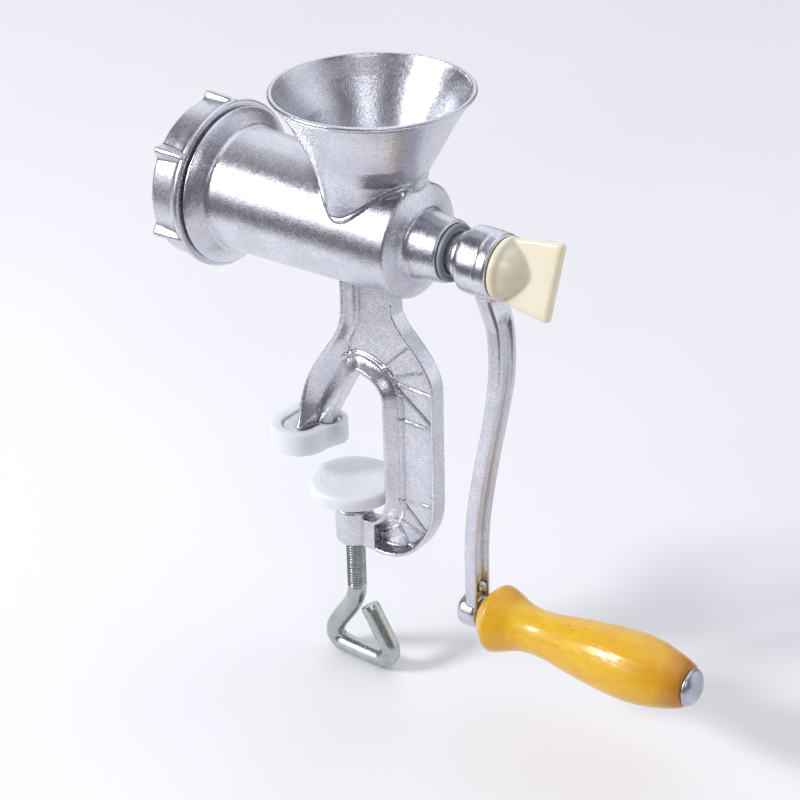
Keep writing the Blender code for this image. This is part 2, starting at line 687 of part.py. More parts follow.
HUB_PROFILE = [         # (x, radius)
    (69.8, 0.0), (69.8, 11.2), (70.6, 12.0), (HUB_X0, 12.4), (HUB_X0, 13.6), (77.8, HUB_R),
    (HUB_X1 - 0.8, HUB_R - 0.3), (HUB_X1, HUB_R - 1.1), (HUB_X1, 0.0)]
HUB_SCREW_PROFILE = [   # (x, radius) of the screw's hole and the recess round it
    (80, 0.0), (80, 4.4), (SCREW_SEAT_X, 4.4), (SCREW_SEAT_X, 9.6), (95, 9.6), (95, 0.0)]
EYE_PROFILE = [         # (distance along the axle, radius)
    (-4.6, 0.0), (-4.6, 6.8), (-3.6, 8.2), (-2.0, 8.6), (4.6, 8.6), (6.0, 8.0), (6.5, 7.0),
    (6.5, 0.0)]
ARM_STATIONS = [        # (depth below the barrel axis, x of the -X face, thickness)
    (4, 79.4, 11.0), (14, 80.6, 8.8), (30, 85.9, 8.2), (45, 87.4, 7.9), (60, 86.8, 7.7),
    (80, 84.0, 7.0), (100, 80.0, 7.0), (122, 76.0, 7.2), (140, 73.7, 7.0), (156, 72.9, 6.9),
    (170, 73.1, 6.7), (182, 73.3, 6.6), (191, 73.2, 6.6)]
ARM_TOP, ARM_BOTTOM = 6, 187.0      # depths at which the loft starts and ends
ARM_SPANS = 22
ARM_HALF_WIDTH = 6.4
ARM_CORNER = 0.8
GROOVE_DEPTH = 1.7


def arm_line(depth):
    """x of the -X face and thickness of the arm, on a cubic through the stations."""
    last = len(ARM_STATIONS) - 1
    i = next(k for k in range(last) if depth <= ARM_STATIONS[k + 1][0])
    p0, p1, p2, p3 = (ARM_STATIONS[max(0, min(last, i + k))] for k in (-1, 0, 1, 2))
    span = p2[0] - p1[0]
    t = (depth - p1[0]) / span
    values = []
    for k in (1, 2):
        slope1 = (p2[k] - p0[k]) / (p2[0] - p0[0]) * span
        slope2 = (p3[k] - p1[k]) / (p3[0] - p1[0]) * span
        values.append((2 * t ** 3 - 3 * t ** 2 + 1) * p1[k] + (t ** 3 - 2 * t ** 2 + t) * slope1
                      + (-2 * t ** 3 + 3 * t ** 2) * p2[k] + (t ** 3 - t ** 2) * slope2)
    return values


def arm_blade():
    """Loft down the arm: a chamfered rectangle with a long groove in its +X face."""
    rings = []
    for k in range(ARM_SPANS + 1):
        depth = ARM_TOP + k * (ARM_BOTTOM - ARM_TOP) / ARM_SPANS
        x0, thickness = arm_line(depth)
        x1 = x0 + thickness
        w = ARM_HALF_WIDTH + max(0, 30 - depth) * 0.06      # wider near the hub
        c = ARM_CORNER
        groove = max(0.0, min(1.0, (depth - 24) / 5.0, (183 - depth) / 4.0)) * GROOVE_DEPTH
        section = [(x0 + c, -w), (x1 - c, -w), (x1, -w + c), (x1, -4.0), (x1 - groove, -2.9),
                   (x1 - groove, 2.9), (x1, 4.0), (x1, w - c), (x1 - c, w), (x0 + c, w),
                   (x0, w - c), (x0, -w + c)]
        rings.append([(x, y, AXIS_Z - depth) for x, y in section])
    return loft("arm_blade", rings)


def build_crank():
    crank = lathe("crank_arm", HUB_PROFILE, CAST)
    join(crank, arm_blade())
    join(crank, axle_lathe("crank_eye", EYE_PROFILE, steps=28, spin=2.7))
    cut(crank, square_bar("crank_square_cut", 60, 88.8, half=SQUARE / 2 + GAP))
    cut(crank, lathe("crank_screw_cut", HUB_SCREW_PROFILE, steps=28))
    cut(crank, cylinder("crank_nose_cut", radius=JOURNAL_R + 0.7, length=2.4,
                        centre=on_barrel(69.4), steps=36))
    cut(crank, on_axle(cylinder("crank_eye_cut", radius=4.1, length=30, centre=(0, 0, 0),
                                steps=20)))
    return crank


# ---- thumb screw: cream plastic head on a steel stud, with a washer under it ----
STUD_R = 3.9
STUD_FLANGE_R = 6.2
STUD_TIP_R = 3.2
FLANGE_X0, FLANGE_X1 = 95.4, 97.8
STUD_END_X = 104.0
STUD_PROFILE = [        # (x, radius)
    (71.4, 0.0), (71.4, 3.2), (72.2, STUD_R), (FLANGE_X0, STUD_R), (FLANGE_X0, STUD_FLANGE_R),
    (FLANGE_X1, STUD_FLANGE_R), (FLANGE_X1, STUD_TIP_R), (STUD_END_X, STUD_TIP_R),
    (STUD_END_X, 0.0)]
INSERT_PROFILE = [      # (x, radius) of the stud's pocket in the head
    (90, 0.0), (90, STUD_R + GAP), (FLANGE_X0 - GAP, STUD_R + GAP),
    (FLANGE_X0 - GAP, STUD_FLANGE_R + GAP), (FLANGE_X1 + GAP, STUD_FLANGE_R + GAP),
    (FLANGE_X1 + GAP, STUD_TIP_R + GAP), (STUD_END_X + GAP, STUD_TIP_R + GAP),
    (STUD_END_X + GAP, 0.0)]
KNOB_PROFILE = [        # (x, radius)
    (92.7, 0.0), (92.7, 14.4), (93.3, 15.0), (95.4, 15.2), (96.4, 13.6), (97.4, 11.6),
    (102.5, 10.2), (106.4, 7.2), (108.8, 0.0)]
PADDLE_STATIONS = (     # (x, half height, half thickness)
    (93.6, 13.6, 2.9), (98.0, 15.6, 2.8), (110.0, 17.2, 2.5), (119.6, 18.6, 2.2),
    (121.0, 18.2, 1.4))
PADDLE_LEAN = math.radians(20.0)


def thumb_paddle():
    """Flat paddle, wider and thinner towards its free edge, leaning about the barrel axis."""
    rings = []
    lean = Matrix.Translation(on_barrel(0)) @ Matrix.Rotation(-PADDLE_LEAN, 4, "X")
    for x, h, t in PADDLE_STATIONS:
        c = min(1.2, t - 0.3)       # corner chamfer
        section = [(-t + c, -h), (t - c, -h), (t, -h + c), (t, h - c), (t - c, h), (-t + c, h),
                   (-t, h - c), (-t, -h + c)]
        rings.append([lean @ Vector((x, y, z)) for y, z in section])
    return loft("thumb_paddle", rings)


def build_thumb_screw():
    washer_x = SCREW_SEAT_X + GAP
    washer = lathe("thumb_washer", band(washer_x, 92.3, inner_r=4.3, outer_r=9.2), STEEL,
                   steps=24)
    stud = lathe("thumb_stud", STUD_PROFILE, STEEL, steps=20)
    knob = lathe("thumb_knob", KNOB_PROFILE, CREAM, steps=28)
    join(knob, thumb_paddle())
    cut(knob, lathe("thumb_insert_cut", INSERT_PROFILE, steps=20))
    return washer, stud, knob


# ---- handle: riveted axle, washer and the wooden grip that spins on it ----
# Profiles are (distance along the axle from the eye's centre, radius).
GRIP_BORE_R = 4.1
GRIP_PROFILE = [
    (8.8, GRIP_BORE_R), (8.8, 9.8), (9.4, 11.0), (12.0, 13.6), (14.6, 15.7), (16.8, 16.3),
    (19.4, 15.8), (22.4, 15.0), (28.0, 12.9), (34.0, 11.5), (41.0, 11.1), (49.0, 11.8),
    (60.0, 13.6), (72.0, 15.3), (84.0, 16.5), (95.0, 16.8), (105.0, 15.8), (113.0, 14.0),
    (118.0, 12.5), (121.6, 11.1), (123.3, 9.9), (123.9, 8.8), (123.9, GRIP_BORE_R)]
AXLE_PROFILE = [
    (-6.6, 0.0), (-6.5, 3.6), (-6.0, 5.0), (-4.9, 5.6), (-4.9, 3.7), (124.3, 3.7), (124.3, 8.5),
    (124.9, 9.1), (126.1, 8.7), (128.2, 5.9), (129.3, 0.0)]


def build_handle():
    grip = axle_lathe("handle_grip", GRIP_PROFILE, WOOD)
    axle = axle_lathe("handle_axle", AXLE_PROFILE, STEEL)
    washer = axle_lathe("grip_washer", band(6.9, 8.5, inner_r=4.0, outer_r=6.4), STEEL)
    return grip, axle, washer


# ---- clamp: jaw pad, screw with a bent loop handle, swivel disc and clamp pad ----
PAD_TOP = 12.2
SCREW_R = 4.9
CLAMP_R = 22.8
CLAMP_TOP = -14.3
CLAMP_BOTTOM = -22.0

SCREW_CORNERS = [       # (x, y, z) down the shank, then round the loop
    (0, 0, -26.0), (0, 0, -81.5), (-17.6, 0, -112.4), (-13.6, 0, -118.4), (17.2, 0, -118.4),
    (21.6, 0, -112.6), (8.3, 0, -88.6)]
SCREW_BEND_RADII = [9.0, 6.0, 5.0, 5.0, 5.0]
# Profiles are (z, radius).
NECK_PROFILE = [
    (-16.7, 0.0), (-16.9, 4.0), (-17.6, 5.8), (-18.1, 6.0), (-18.1, 3.5), (-25.2, 3.5),
    (-25.2, SCREW_R - 0.6), (-26.4, SCREW_R - 0.02), (-27.4, SCREW_R - 0.02), (-27.4, 0.0)]
SWIVEL_PROFILE = [
    (-18.4, 3.8), (-18.4, 17.2), (-21.5, 17.2), (-21.9, 16.6), (-21.9, 8.2), (-24.9, 7.0),
    (-24.9, 3.8)]
CLAMP_PAD_PROFILE = [
    (-13.7, 0.0), (-13.7, 9.0), (CLAMP_TOP, 18.6), (-15.6, 21.4), (-18.6, CLAMP_R),
    (-20.8, 22.5), (CLAMP_BOTTOM, 21.2), (CLAMP_BOTTOM, 17.5), (-18.1, 17.5), (-18.1, 7.2),
    (-16.3, 7.2), (-16.3, 0.0)]


def pad_outline():
    """(x, y) anticlockwise, roughly the foot's outline with a border round it."""
    return lobe(x=-27.0, y=-7.0, radius=15.0, step=14, count=13) + smooth_line([
        (-11.9, -5.0), (-10.6, -1.0), (-9.0, 3.0), (-8.8, 6.6), (-10.6, 10.6), (-15.0, 13.2),
        (-21.0, 13.9), (-32.0, 13.9), (-38.2, 11.8), (-41.4, 7.0), (-42.0, 1.0)])


def build_jaw_pad():
    pad = prism("jaw_pad", pad_outline(), low=0.0, high=PAD_TOP, mat=WHITE)
    # the edges are softened before the recess for the foot is cut
    rim = pad.modifiers.new("Soft_edge", "BEVEL")
    rim.width = 1.2 * MM
    rim.segments = 2
    rim.limit_method = "ANGLE"
    rim.angle_limit = math.radians(60)
    cut(pad, prism("jaw_pad_cut", grow(foot_outline(), 0.35), low=PAD_FLOOR, high=PAD_TOP + 4))


def clamp_lathe(name, profile, mat=None, steps=32):
    return lathe(name, profile, mat, steps=steps, axis="Z", centre=(0, 0, 0))


def build_clamp():
    path = rounded_path(SCREW_CORNERS, SCREW_BEND_RADII, steps=4)
    screw = rod("clamp_screw", path, SCREW_R, ZINC)
    join(screw, clamp_lathe("screw_neck", NECK_PROFILE, steps=16))
    swivel = clamp_lathe("swivel_disc", SWIVEL_PROFILE, ZINC, steps=28)
    pad = clamp_lathe("clamp_pad", CLAMP_PAD_PROFILE, WHITE)
    return screw, swivel, pad


# ---- joints: empties on the axes that the moving pieces turn about ----
def empty(name, where):
    obj = bpy.data.objects.new(name, None)
    obj.location = Vector(where) * MM
    MILL.objects.link(obj)
    return obj


def parent_to(parent, children):
    """Parents the children without moving them."""
    bpy.context.view_layer.update()
    for child in children:
        child.parent = parent
        child.matrix_parent_inverse = parent.matrix_world.inverted()


build_body()
build_key_pin()
plate_and_nut = (build_plate(), build_nut())
auger_and_knife = (build_auger(), build_knife_stud(), build_knife())
build_bearing()
crank_arm = build_crank()
thumb_screw = build_thumb_screw()
handle_grip, handle_axle, handle_washer = build_handle()
build_jaw_pad()
clamp_pieces = build_clamp()

crank_axis = empty("crank_axis", on_barrel(0))
nut_axis = empty("ring_nut_axis", on_barrel(SEAT_X))
grip_axis = empty("grip_axis", EYE_CENTRE)
grip_axis.rotation_euler = (0, -AXLE_TILT, 0)
clamp_axis = empty("clamp_axis", (0, 0, 0))

parent_to(crank_axis, [grip_axis, *auger_and_knife, crank_arm, *thumb_screw, handle_axle,
                       handle_washer])
parent_to(nut_axis, plate_and_nut)
parent_to(clamp_axis, clamp_pieces)
parent_to(grip_axis, [handle_grip])

for root in list(MILL.objects) + list(CUTTERS.objects):
    if root.parent is None:
        root.location.x += DATUM_X * MM
bpy.context.view_layer.update()
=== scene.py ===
"""Looks for the clamp-on hand-cranked mill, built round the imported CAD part.

The mill stands upright, +Z up. Its barrel lies along X, with the ring nut and hole plate at the -X
end and the crank at the +X end, whose grip points on towards +X. The hopper opens upwards. Below
the barrel a C-frame, open towards -X, holds the jaw foot above the clamp screw. The camera looks
from -Y and +X. Shapes are drawn in millimetres with the clamp screw's axis at x = y = 0, and
place() brings them to metres.
"""
import json
import math

import bmesh
import bpy
import numpy as np
from mathutils import Matrix, Vector, noise
from mathutils.geometry import delaunay_2d_cdt

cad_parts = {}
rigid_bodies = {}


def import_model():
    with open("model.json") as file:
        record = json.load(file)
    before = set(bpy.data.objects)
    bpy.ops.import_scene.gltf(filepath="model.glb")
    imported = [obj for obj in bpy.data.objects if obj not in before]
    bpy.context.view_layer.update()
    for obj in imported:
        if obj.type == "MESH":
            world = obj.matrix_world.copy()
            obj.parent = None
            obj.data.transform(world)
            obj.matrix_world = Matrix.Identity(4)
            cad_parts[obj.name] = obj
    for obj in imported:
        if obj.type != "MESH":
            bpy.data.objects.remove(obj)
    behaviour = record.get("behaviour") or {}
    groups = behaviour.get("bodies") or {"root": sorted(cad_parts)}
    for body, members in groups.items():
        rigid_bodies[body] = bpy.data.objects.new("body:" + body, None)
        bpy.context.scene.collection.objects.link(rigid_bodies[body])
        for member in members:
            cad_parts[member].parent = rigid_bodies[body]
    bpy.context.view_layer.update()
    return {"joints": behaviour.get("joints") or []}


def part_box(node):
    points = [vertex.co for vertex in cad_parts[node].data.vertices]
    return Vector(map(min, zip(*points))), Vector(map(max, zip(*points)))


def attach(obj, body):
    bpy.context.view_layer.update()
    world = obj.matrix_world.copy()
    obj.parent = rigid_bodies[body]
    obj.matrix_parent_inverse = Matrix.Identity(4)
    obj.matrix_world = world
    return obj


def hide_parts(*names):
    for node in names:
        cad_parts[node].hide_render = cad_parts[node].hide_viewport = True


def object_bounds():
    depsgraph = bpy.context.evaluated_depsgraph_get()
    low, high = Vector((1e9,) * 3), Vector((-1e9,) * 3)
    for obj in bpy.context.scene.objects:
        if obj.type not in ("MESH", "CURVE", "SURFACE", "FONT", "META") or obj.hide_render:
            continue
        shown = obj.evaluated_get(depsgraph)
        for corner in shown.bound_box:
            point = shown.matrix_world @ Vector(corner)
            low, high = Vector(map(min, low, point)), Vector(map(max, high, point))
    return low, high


for thing in list(bpy.data.objects):
    bpy.data.objects.remove(thing, do_unlink=True)

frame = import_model()
JOINT = {joint["name"]: joint for joint in frame["joints"]}
MM = 0.001
DATUM_X = JOINT["clamp_turn"]["pos_m"][0] / MM      # clamp screw's axis
AXIS_Z = JOINT["crank_turn"]["pos_m"][2] / MM       # barrel's axis
EYE_X = JOINT["grip_spin"]["pos_m"][0] / MM - DATUM_X
EYE_Z = JOINT["grip_spin"]["pos_m"][2] / MM
AXLE_TILT = math.asin(JOINT["grip_spin"]["axis"][2])


def barrel_pose(y=0.0, z=0.0):
    """Pose along the barrel, set off from its axis."""
    return Matrix.Translation((0, y, AXIS_Z + z))


# Poses for turned shapes, whose own axis is X
IN_PLACE = Matrix.Identity(4)
ON_BARREL = barrel_pose()
UPRIGHT = Matrix.Rotation(-math.pi / 2, 4, "Y")     # the clamp screw's axis
ON_AXLE = Matrix.Translation((EYE_X, 0, EYE_Z)) @ Matrix.Rotation(-AXLE_TILT, 4, "Y")

# ------------------------------------------------------------------ mesh helpers (millimetres)
SCRATCH = bpy.data.collections.new("scratch")
bpy.context.scene.collection.children.link(SCRATCH)


def scratch(bm):
    """Working object from a bmesh, with its faces turned outwards."""
    bmesh.ops.recalc_face_normals(bm, faces=bm.faces)
    mesh = bpy.data.meshes.new("part")
    bm.to_mesh(mesh)
    bm.free()
    obj = bpy.data.objects.new("part", mesh)
    SCRATCH.objects.link(obj)
    return obj


def turned(profile, steps=96, pose=ON_BARREL, spin=0.0):
    """Solid of revolution from (distance along the axis, radius); a ring if it starts off the
    axis. The spin shifts the first column of vertices round the axis."""
    bm = bmesh.new()
    angles = [math.tau * k / steps + spin for k in range(steps)]
    rows = []
    for along, radius in profile:
        if radius < 1e-6:
            rows.append([bm.verts.new((along, 0, 0))])
        else:
            rows.append([bm.verts.new((along, radius * math.cos(a), radius * math.sin(a)))
                         for a in angles])
    pairs = list(zip(rows, rows[1:]))
    if profile[0][1] > 1e-6:
        pairs.append((rows[-1], rows[0]))
    for this, other in pairs:
        for k in range(steps):
            j = (k + 1) % steps
            if len(this) == 1:
                bm.faces.new((this[0], other[k], other[j]))
            elif len(other) == 1:
                bm.faces.new((this[k], other[0], this[j]))
            else:
                bm.faces.new((this[k], other[k], other[j], this[j]))
    bmesh.ops.transform(bm, matrix=pose, verts=bm.verts)
    return scratch(bm)


def capped(profile):
    """The profile with flat ends brought in to the axis."""
    return [(profile[0][0], 0.0)] + profile + [(profile[-1][0], 0.0)]


def rounded(profile, radius, parts=3):
    """The profile with each of its corners rounded off."""
    points = [Vector(point) for point in profile]
    out = [tuple(points[0])]
    for before, corner, after in zip(points, points[1:], points[2:]):
        back, ahead = before - corner, after - corner
        reach = min(radius, 0.45 * back.length, 0.45 * ahead.length)
        start, end = corner + back.normalized() * reach, corner + ahead.normalized() * reach
        for k in range(parts + 1):
            share = k / parts
            out.append(tuple((1 - share) ** 2 * start + 2 * share * (1 - share) * corner
                             + share * share * end))
    out.append(tuple(points[-1]))
    return out


def rod(low, high, radius, steps, pose=ON_BARREL, spin=0.0, edge=None):
    """Cylinder between two places on the axis, its edges rounded if an edge radius is given."""
    profile = capped([(low, radius), (high, radius)])
    return turned(rounded(profile, edge) if edge else profile, steps, pose, spin)


def washer(low, high, inner, outer, steps, edge, pose=ON_BARREL):
    """Flat ring with rounded outer edges."""
    profile = [(low, inner), (low, outer), (high, outer), (high, inner)]
    return turned(rounded(profile, edge), steps, pose)


def spline_point(before, start, end, after, share):
    """Catmull-Rom point between start and end."""
    return 0.5 * ((2 * start) + (end - before) * share
                  + (2 * before - 5 * start + 4 * end - after) * share * share
                  + (3 * start - before - 3 * end + after) * share ** 3)


def fine_curve(points, parts):
    """Smooth curve through 2D points, each span cut in equal parts; the ends run straight on."""
    out = []
    last = len(points) - 1
    for i in range(last):
        start, end = Vector(points[i]), Vector(points[i + 1])
        before = Vector(points[i - 1]) if i > 0 else start * 2 - end
        after = Vector(points[i + 2]) if i + 2 <= last else end * 2 - start
        out += [tuple(spline_point(before, start, end, after, k / parts)) for k in range(parts)]
    out.append(tuple(points[-1]))
    return out


def smooth_line(points, step=1.3):
    """Smooth curve through 2D points at about one step; a point given twice stays a corner."""
    points = [Vector(point) for point in points]
    out = []
    last = len(points) - 1
    for i in range(last):
        start, end = points[i], points[i + 1]
        length = (end - start).length
        if length < 1e-6:
            continue
        before, after = points[max(i - 1, 0)], points[min(i + 2, last)]
        parts = max(1, int(length / step))
        out += [tuple(spline_point(before, start, end, after, k / parts)) for k in range(parts)]
    out.append(tuple(points[-1]))
    return out


def loft(sections, caps_flipped=False, sides_flipped=False, split_over=None, pose=IN_PLACE):
    """Closed skin over equal sections of 3D points. The flips set the order in which the faces
    list their corners; faces with more corners than split_over are cut into triangles."""
    bm = bmesh.new()
    rows = [[bm.verts.new(point) for point in section] for section in sections]
    for this, other in zip(rows, rows[1:]):
        for k in range(len(this)):
            j = (k + 1) % len(this)
            if sides_flipped:
                bm.faces.new((this[k], other[k], other[j], this[j]))
            else:
                bm.faces.new((this[k], this[j], other[j], other[k]))
    order = 1 if caps_flipped else -1
    bm.faces.new(rows[0][::order])
    bm.faces.new(rows[-1][::-order])
    if split_over:
        bmesh.ops.triangulate(bm, faces=[f for f in bm.faces if len(f.verts) > split_over])
    bmesh.ops.transform(bm, matrix=pose, verts=bm.verts)
    return scratch(bm)


def slab(outline, low, high):
    """Upright prism between two heights over an (x, y) outline."""
    return loft([[(x, y, z) for x, y in outline] for z in (low, high)], caps_flipped=True,
                split_over=4)


def block(low, high, pose=IN_PLACE):
    """Box between two corners."""
    bm = bmesh.new()
    bmesh.ops.create_cube(bm, size=1.0)
    bmesh.ops.scale(bm, vec=[b - a for a, b in zip(low, high)], verts=bm.verts)
    bmesh.ops.translate(bm, vec=[(a + b) / 2 for a, b in zip(low, high)], verts=bm.verts)
    bmesh.ops.transform(bm, matrix=pose, verts=bm.verts)
    return scratch(bm)


def square_bar(low, high, half):
    """Square bar on the barrel's axis, from one x to another."""
    return block((low, -half, AXIS_Z - half), (high, half, AXIS_Z + half))


def baked(obj):
    """The object's modifiers worked into its mesh."""
    bpy.context.view_layer.update()
    graph = bpy.context.evaluated_depsgraph_get()
    mesh = bpy.data.meshes.new_from_object(obj.evaluated_get(graph))
    obj.modifiers.clear()
    old = obj.data
    obj.data = mesh
    bpy.data.meshes.remove(old)
    return obj


def combine(target, add=(), cut=()):
    """Booleans: joins the added solids to the target, then takes the cutters out of it."""
    for operation, tools in (("UNION", add), ("DIFFERENCE", cut)):
        for tool in tools:
            mod = target.modifiers.new("boolean", "BOOLEAN")
            mod.operation = operation
            mod.solver = "EXACT"
            mod.object = tool
    baked(target)
    for tool in (*add, *cut):
        bpy.data.objects.remove(tool, do_unlink=True)
    return target


def copy(obj):
    other = bpy.data.objects.new(obj.name, obj.data.copy())
    SCRATCH.objects.link(other)
    return other


def join(objs):
    """One object holding every shell of the given ones."""
    first = objs[0]
    bm = bmesh.new()
    for obj in objs:
        bm.from_mesh(obj.data)
    bm.to_mesh(first.data)
    bm.free()
    for obj in objs[1:]:
        bpy.data.objects.remove(obj, do_unlink=True)
    return first


def cast(obj, voxel, rounds, ripple=0.0, ripple_size=9.0):
    """Re-skins a solid evenly and softens its edges the way a die casting's are, with a slight
    unevenness of its faces."""
    skin = obj.modifiers.new("skin", "REMESH")
    skin.mode = "VOXEL"
    skin.voxel_size = voxel
    skin.adaptivity = 0.0
    soft = obj.modifiers.new("soft", "SMOOTH")
    soft.factor = 0.5
    soft.iterations = rounds
    baked(obj)
    if ripple:
        mesh = obj.data
        places = np.empty(len(mesh.vertices) * 3)
        normals = np.empty(len(mesh.vertices) * 3)
        mesh.vertices.foreach_get("co", places)
        mesh.vertices.foreach_get("normal", normals)
        places, normals = places.reshape(-1, 3), normals.reshape(-1, 3)
        x, y, z = (places / ripple_size).T
        # three waves, each bent by another axis
        wave = (np.sin(x * 2.1 + 1.3 * np.sin(y * 1.7)) + np.sin(y * 2.9 + 1.1 * np.sin(z * 1.9))
                + np.sin(z * 2.3 + 1.7 * np.sin(x * 1.3))) / 3.0
        places += normals * (wave * ripple)[:, None]
        mesh.vertices.foreach_set("co", places.ravel())
        mesh.update()
    return obj


def place(obj, name, body, cad_node, material, sharp=None):
    """Scales a finished millimetre mesh to metres at the datum, shades it, gives it its material
    and has it stand for its CAD node. Edges over the sharp angle, in degrees, stay sharp."""
    obj.name = name
    obj.data.name = name
    for collection in list(obj.users_collection):
        collection.objects.unlink(obj)
    bpy.context.scene.collection.objects.link(obj)
    obj.data.transform(Matrix.Scale(MM, 4) @ Matrix.Translation((DATUM_X, 0, 0)))
    obj.data.materials.clear()
    obj.data.materials.append(material)
    obj.data.shade_smooth()
    if sharp is not None:
        obj.data.set_sharp_from_angle(angle=math.radians(sharp))
    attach(obj, body)
    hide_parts(cad_node)


# ------------------------------------------------------------------ shader helpers
class Nodes:
    """Short ways to add and link the nodes of one tree. Values may be numbers or the outputs of
    other nodes."""

    def __init__(self, tree):
        self.tree = tree

    def feed(self, socket, value):
        """Links an output to the socket, or sets the socket's value."""
        if isinstance(value, bpy.types.NodeSocket):
            self.tree.links.new(value, socket)
        else:
            socket.default_value = value

    def fill(self, node, values):
        """Sets inputs, named with _ for each space, or else the node's own properties."""
        for key, value in values.items():
            title = key.replace("_", " ")
            if title in node.inputs:
                self.feed(node.inputs[title], value)
            else:
                setattr(node, key, value)

    def add(self, kind, **values):
        node = self.tree.nodes.new("ShaderNode" + kind)
        self.fill(node, values)
        return node

    def surface(self, **values):
        """Sets inputs of the material's Principled BSDF."""
        self.fill(self.tree.nodes["Principled BSDF"], values)

    def ramp(self, source, stops):
        """Colour ramp from (position, colour)."""
        node = self.tree.nodes.new("ShaderNodeValToRGB")
        elements = node.color_ramp.elements
        while len(elements) < len(stops):
            elements.new(0.5)
        for element, (position, colour) in zip(elements, stops):
            element.position = position
            element.color = (*colour, 1.0)
        self.feed(node.inputs["Fac"], source)
        return node.outputs["Color"]

    def mapped(self, source, span, to, interpolation="LINEAR"):
        """The source's span mapped to another and held at its ends."""
        node = self.add("MapRange", interpolation_type=interpolation, From_Min=span[0],
                        From_Max=span[1], To_Min=to[0], To_Max=to[1])
        self.feed(node.inputs["Value"], source)
        return node.outputs["Result"]

    def coords(self, scale=(1, 1, 1), rotation=(0, 0, 0)):
        """Object coordinates, stretched."""
        source = self.add("TexCoord").outputs["Object"]
        return self.add("Mapping", Scale=scale, Rotation=rotation,
                        Vector=source).outputs["Vector"]

    def noise(self, vector, scale, detail=2.0, roughness=0.5, distortion=0.0):
        return self.add("TexNoise", Scale=scale, Detail=detail, Roughness=roughness,
                        Distortion=distortion, Vector=vector).outputs["Fac"]

    def bumps(self, *layers):
        """Bump nodes in a chain from (height, strength, distance); returns their normals."""
        normals = []
        for height, strength, distance in layers:
            bump = self.add("Bump", Strength=strength, Distance=distance, Height=height)
            if normals:
                self.feed(bump.inputs["Normal"], normals[-1])
            normals.append(bump.outputs["Normal"])
        return normals

    def mix(self, factor, first, second, blend="MIX"):
        """Colour mix of outputs or RGB tuples."""
        node = self.add("Mix", data_type="RGBA", blend_type=blend)
        self.feed(node.inputs[0], factor)
        for socket, value in ((node.inputs[6], first), (node.inputs[7], second)):
            self.feed(socket, (*value, 1.0) if isinstance(value, tuple) else value)
        return node.outputs[2]

    def math(self, operation, first, second):
        node = self.add("Math", operation=operation)
        self.feed(node.inputs[0], first)
        self.feed(node.inputs[1], second)
        return node.outputs[0]

    def painted_crease_shade(self, colour, crease, floor, reach=None):
        """Paints shade into creases, darkening them down to the floor over a span of pointiness, and
        paints shade into deeper recesses if a reach is given."""
        geometry = self.add("NewGeometry")
        shade = self.mapped(geometry.outputs["Pointiness"], span=crease, to=(floor, 1.0))
        if reach:
            occlusion = self.add("AmbientOcclusion", samples=6, only_local=True, Distance=reach)
            open_share = self.mapped(occlusion.outputs["AO"], span=(0.35, 0.92), to=(0.45, 1.0))
            shade = self.math("MULTIPLY", shade, open_share)
        grey = self.add("CombineColor")
        for k in range(3):
            self.feed(grey.inputs[k], shade)
        return self.mix(1.0, colour, grey.outputs[0], blend="MULTIPLY")


def new_material(name):
    material = bpy.data.materials.new(name)
    material.use_nodes = True
    return material, Nodes(material.node_tree)


def scaled(colour, factor):
    return tuple(c * factor for c in colour)


# ------------------------------------------------------------------ materials
def cast_metal(name, light=(0.80, 0.80, 0.86), dark=(0.60, 0.60, 0.66), rough=(0.20, 0.30),
               grain=1.0):
    """Tumbled die casting: bright skin with a fine sparkle, faint clouding, dull specks, pits and
    painted shade in creases and recesses.
    """
    material, nodes = new_material(name)
    vector = nodes.coords()
    cloud = nodes.noise(vector, scale=42.0, detail=4.0, roughness=0.6, distortion=0.4)
    speck = nodes.noise(vector, scale=1500.0, roughness=0.6)
    middle = nodes.noise(vector, scale=420.0, detail=3.0, roughness=0.6)
    pit = nodes.noise(vector, scale=760.0, detail=1.0, roughness=0.4)
    tone = nodes.ramp(cloud, [(0.30, dark), (0.62, light)])
    flecks = nodes.mapped(speck, span=(0.36, 0.60), to=(0.0, 1.0))
    tone = nodes.mix(flecks, scaled(dark, 0.92), tone)
    pits = nodes.mapped(pit, span=(0.22, 0.28), to=(0.5, 0.0))
    tone = nodes.mix(pits, tone, (0.34, 0.34, 0.36))
    # painted shade: creases and recesses darkened from pointiness and local occlusion
    nodes.surface(Base_Color=nodes.painted_crease_shade(tone, crease=(0.42, 0.495), floor=0.22, reach=0.009),
                  Metallic=1.0)
    skin_rough = nodes.mapped(middle, span=(0.32, 0.70), to=rough)
    pit_rough = nodes.math("MULTIPLY", pits, 0.3)
    nodes.surface(Roughness=nodes.math("ADD", skin_rough, pit_rough))
    wave = nodes.noise(vector, scale=90.0)
    normals = nodes.bumps((wave, 0.05 * grain, 0.004), (middle, 0.07 * grain, 0.0009),
                          (speck, 0.30 * grain, 0.0004))
    nodes.surface(Normal=normals[-1])
    return material


def bright_steel(name, colour, rough):
    """Plain steel with faint clouding and painted shade in its creases."""
    material, nodes = new_material(name)
    vector = nodes.coords()
    cloud = nodes.noise(vector, scale=160.0, detail=3.0, roughness=0.6)
    fine = nodes.noise(vector, scale=1400.0, roughness=0.6)
    base = nodes.ramp(cloud, [(0.32, scaled(colour, 0.82)), (0.66, colour)])
    # painted shade: creases darkened from pointiness
    nodes.surface(Base_Color=nodes.painted_crease_shade(base, crease=(0.36, 0.49), floor=0.22),
                  Metallic=1.0,
                  Roughness=nodes.mapped(fine, span=(0.3, 0.7), to=rough),
                  Normal=nodes.bumps((cloud, 0.08, 0.002), (fine, 0.10, 0.0003))[-1])
    return material


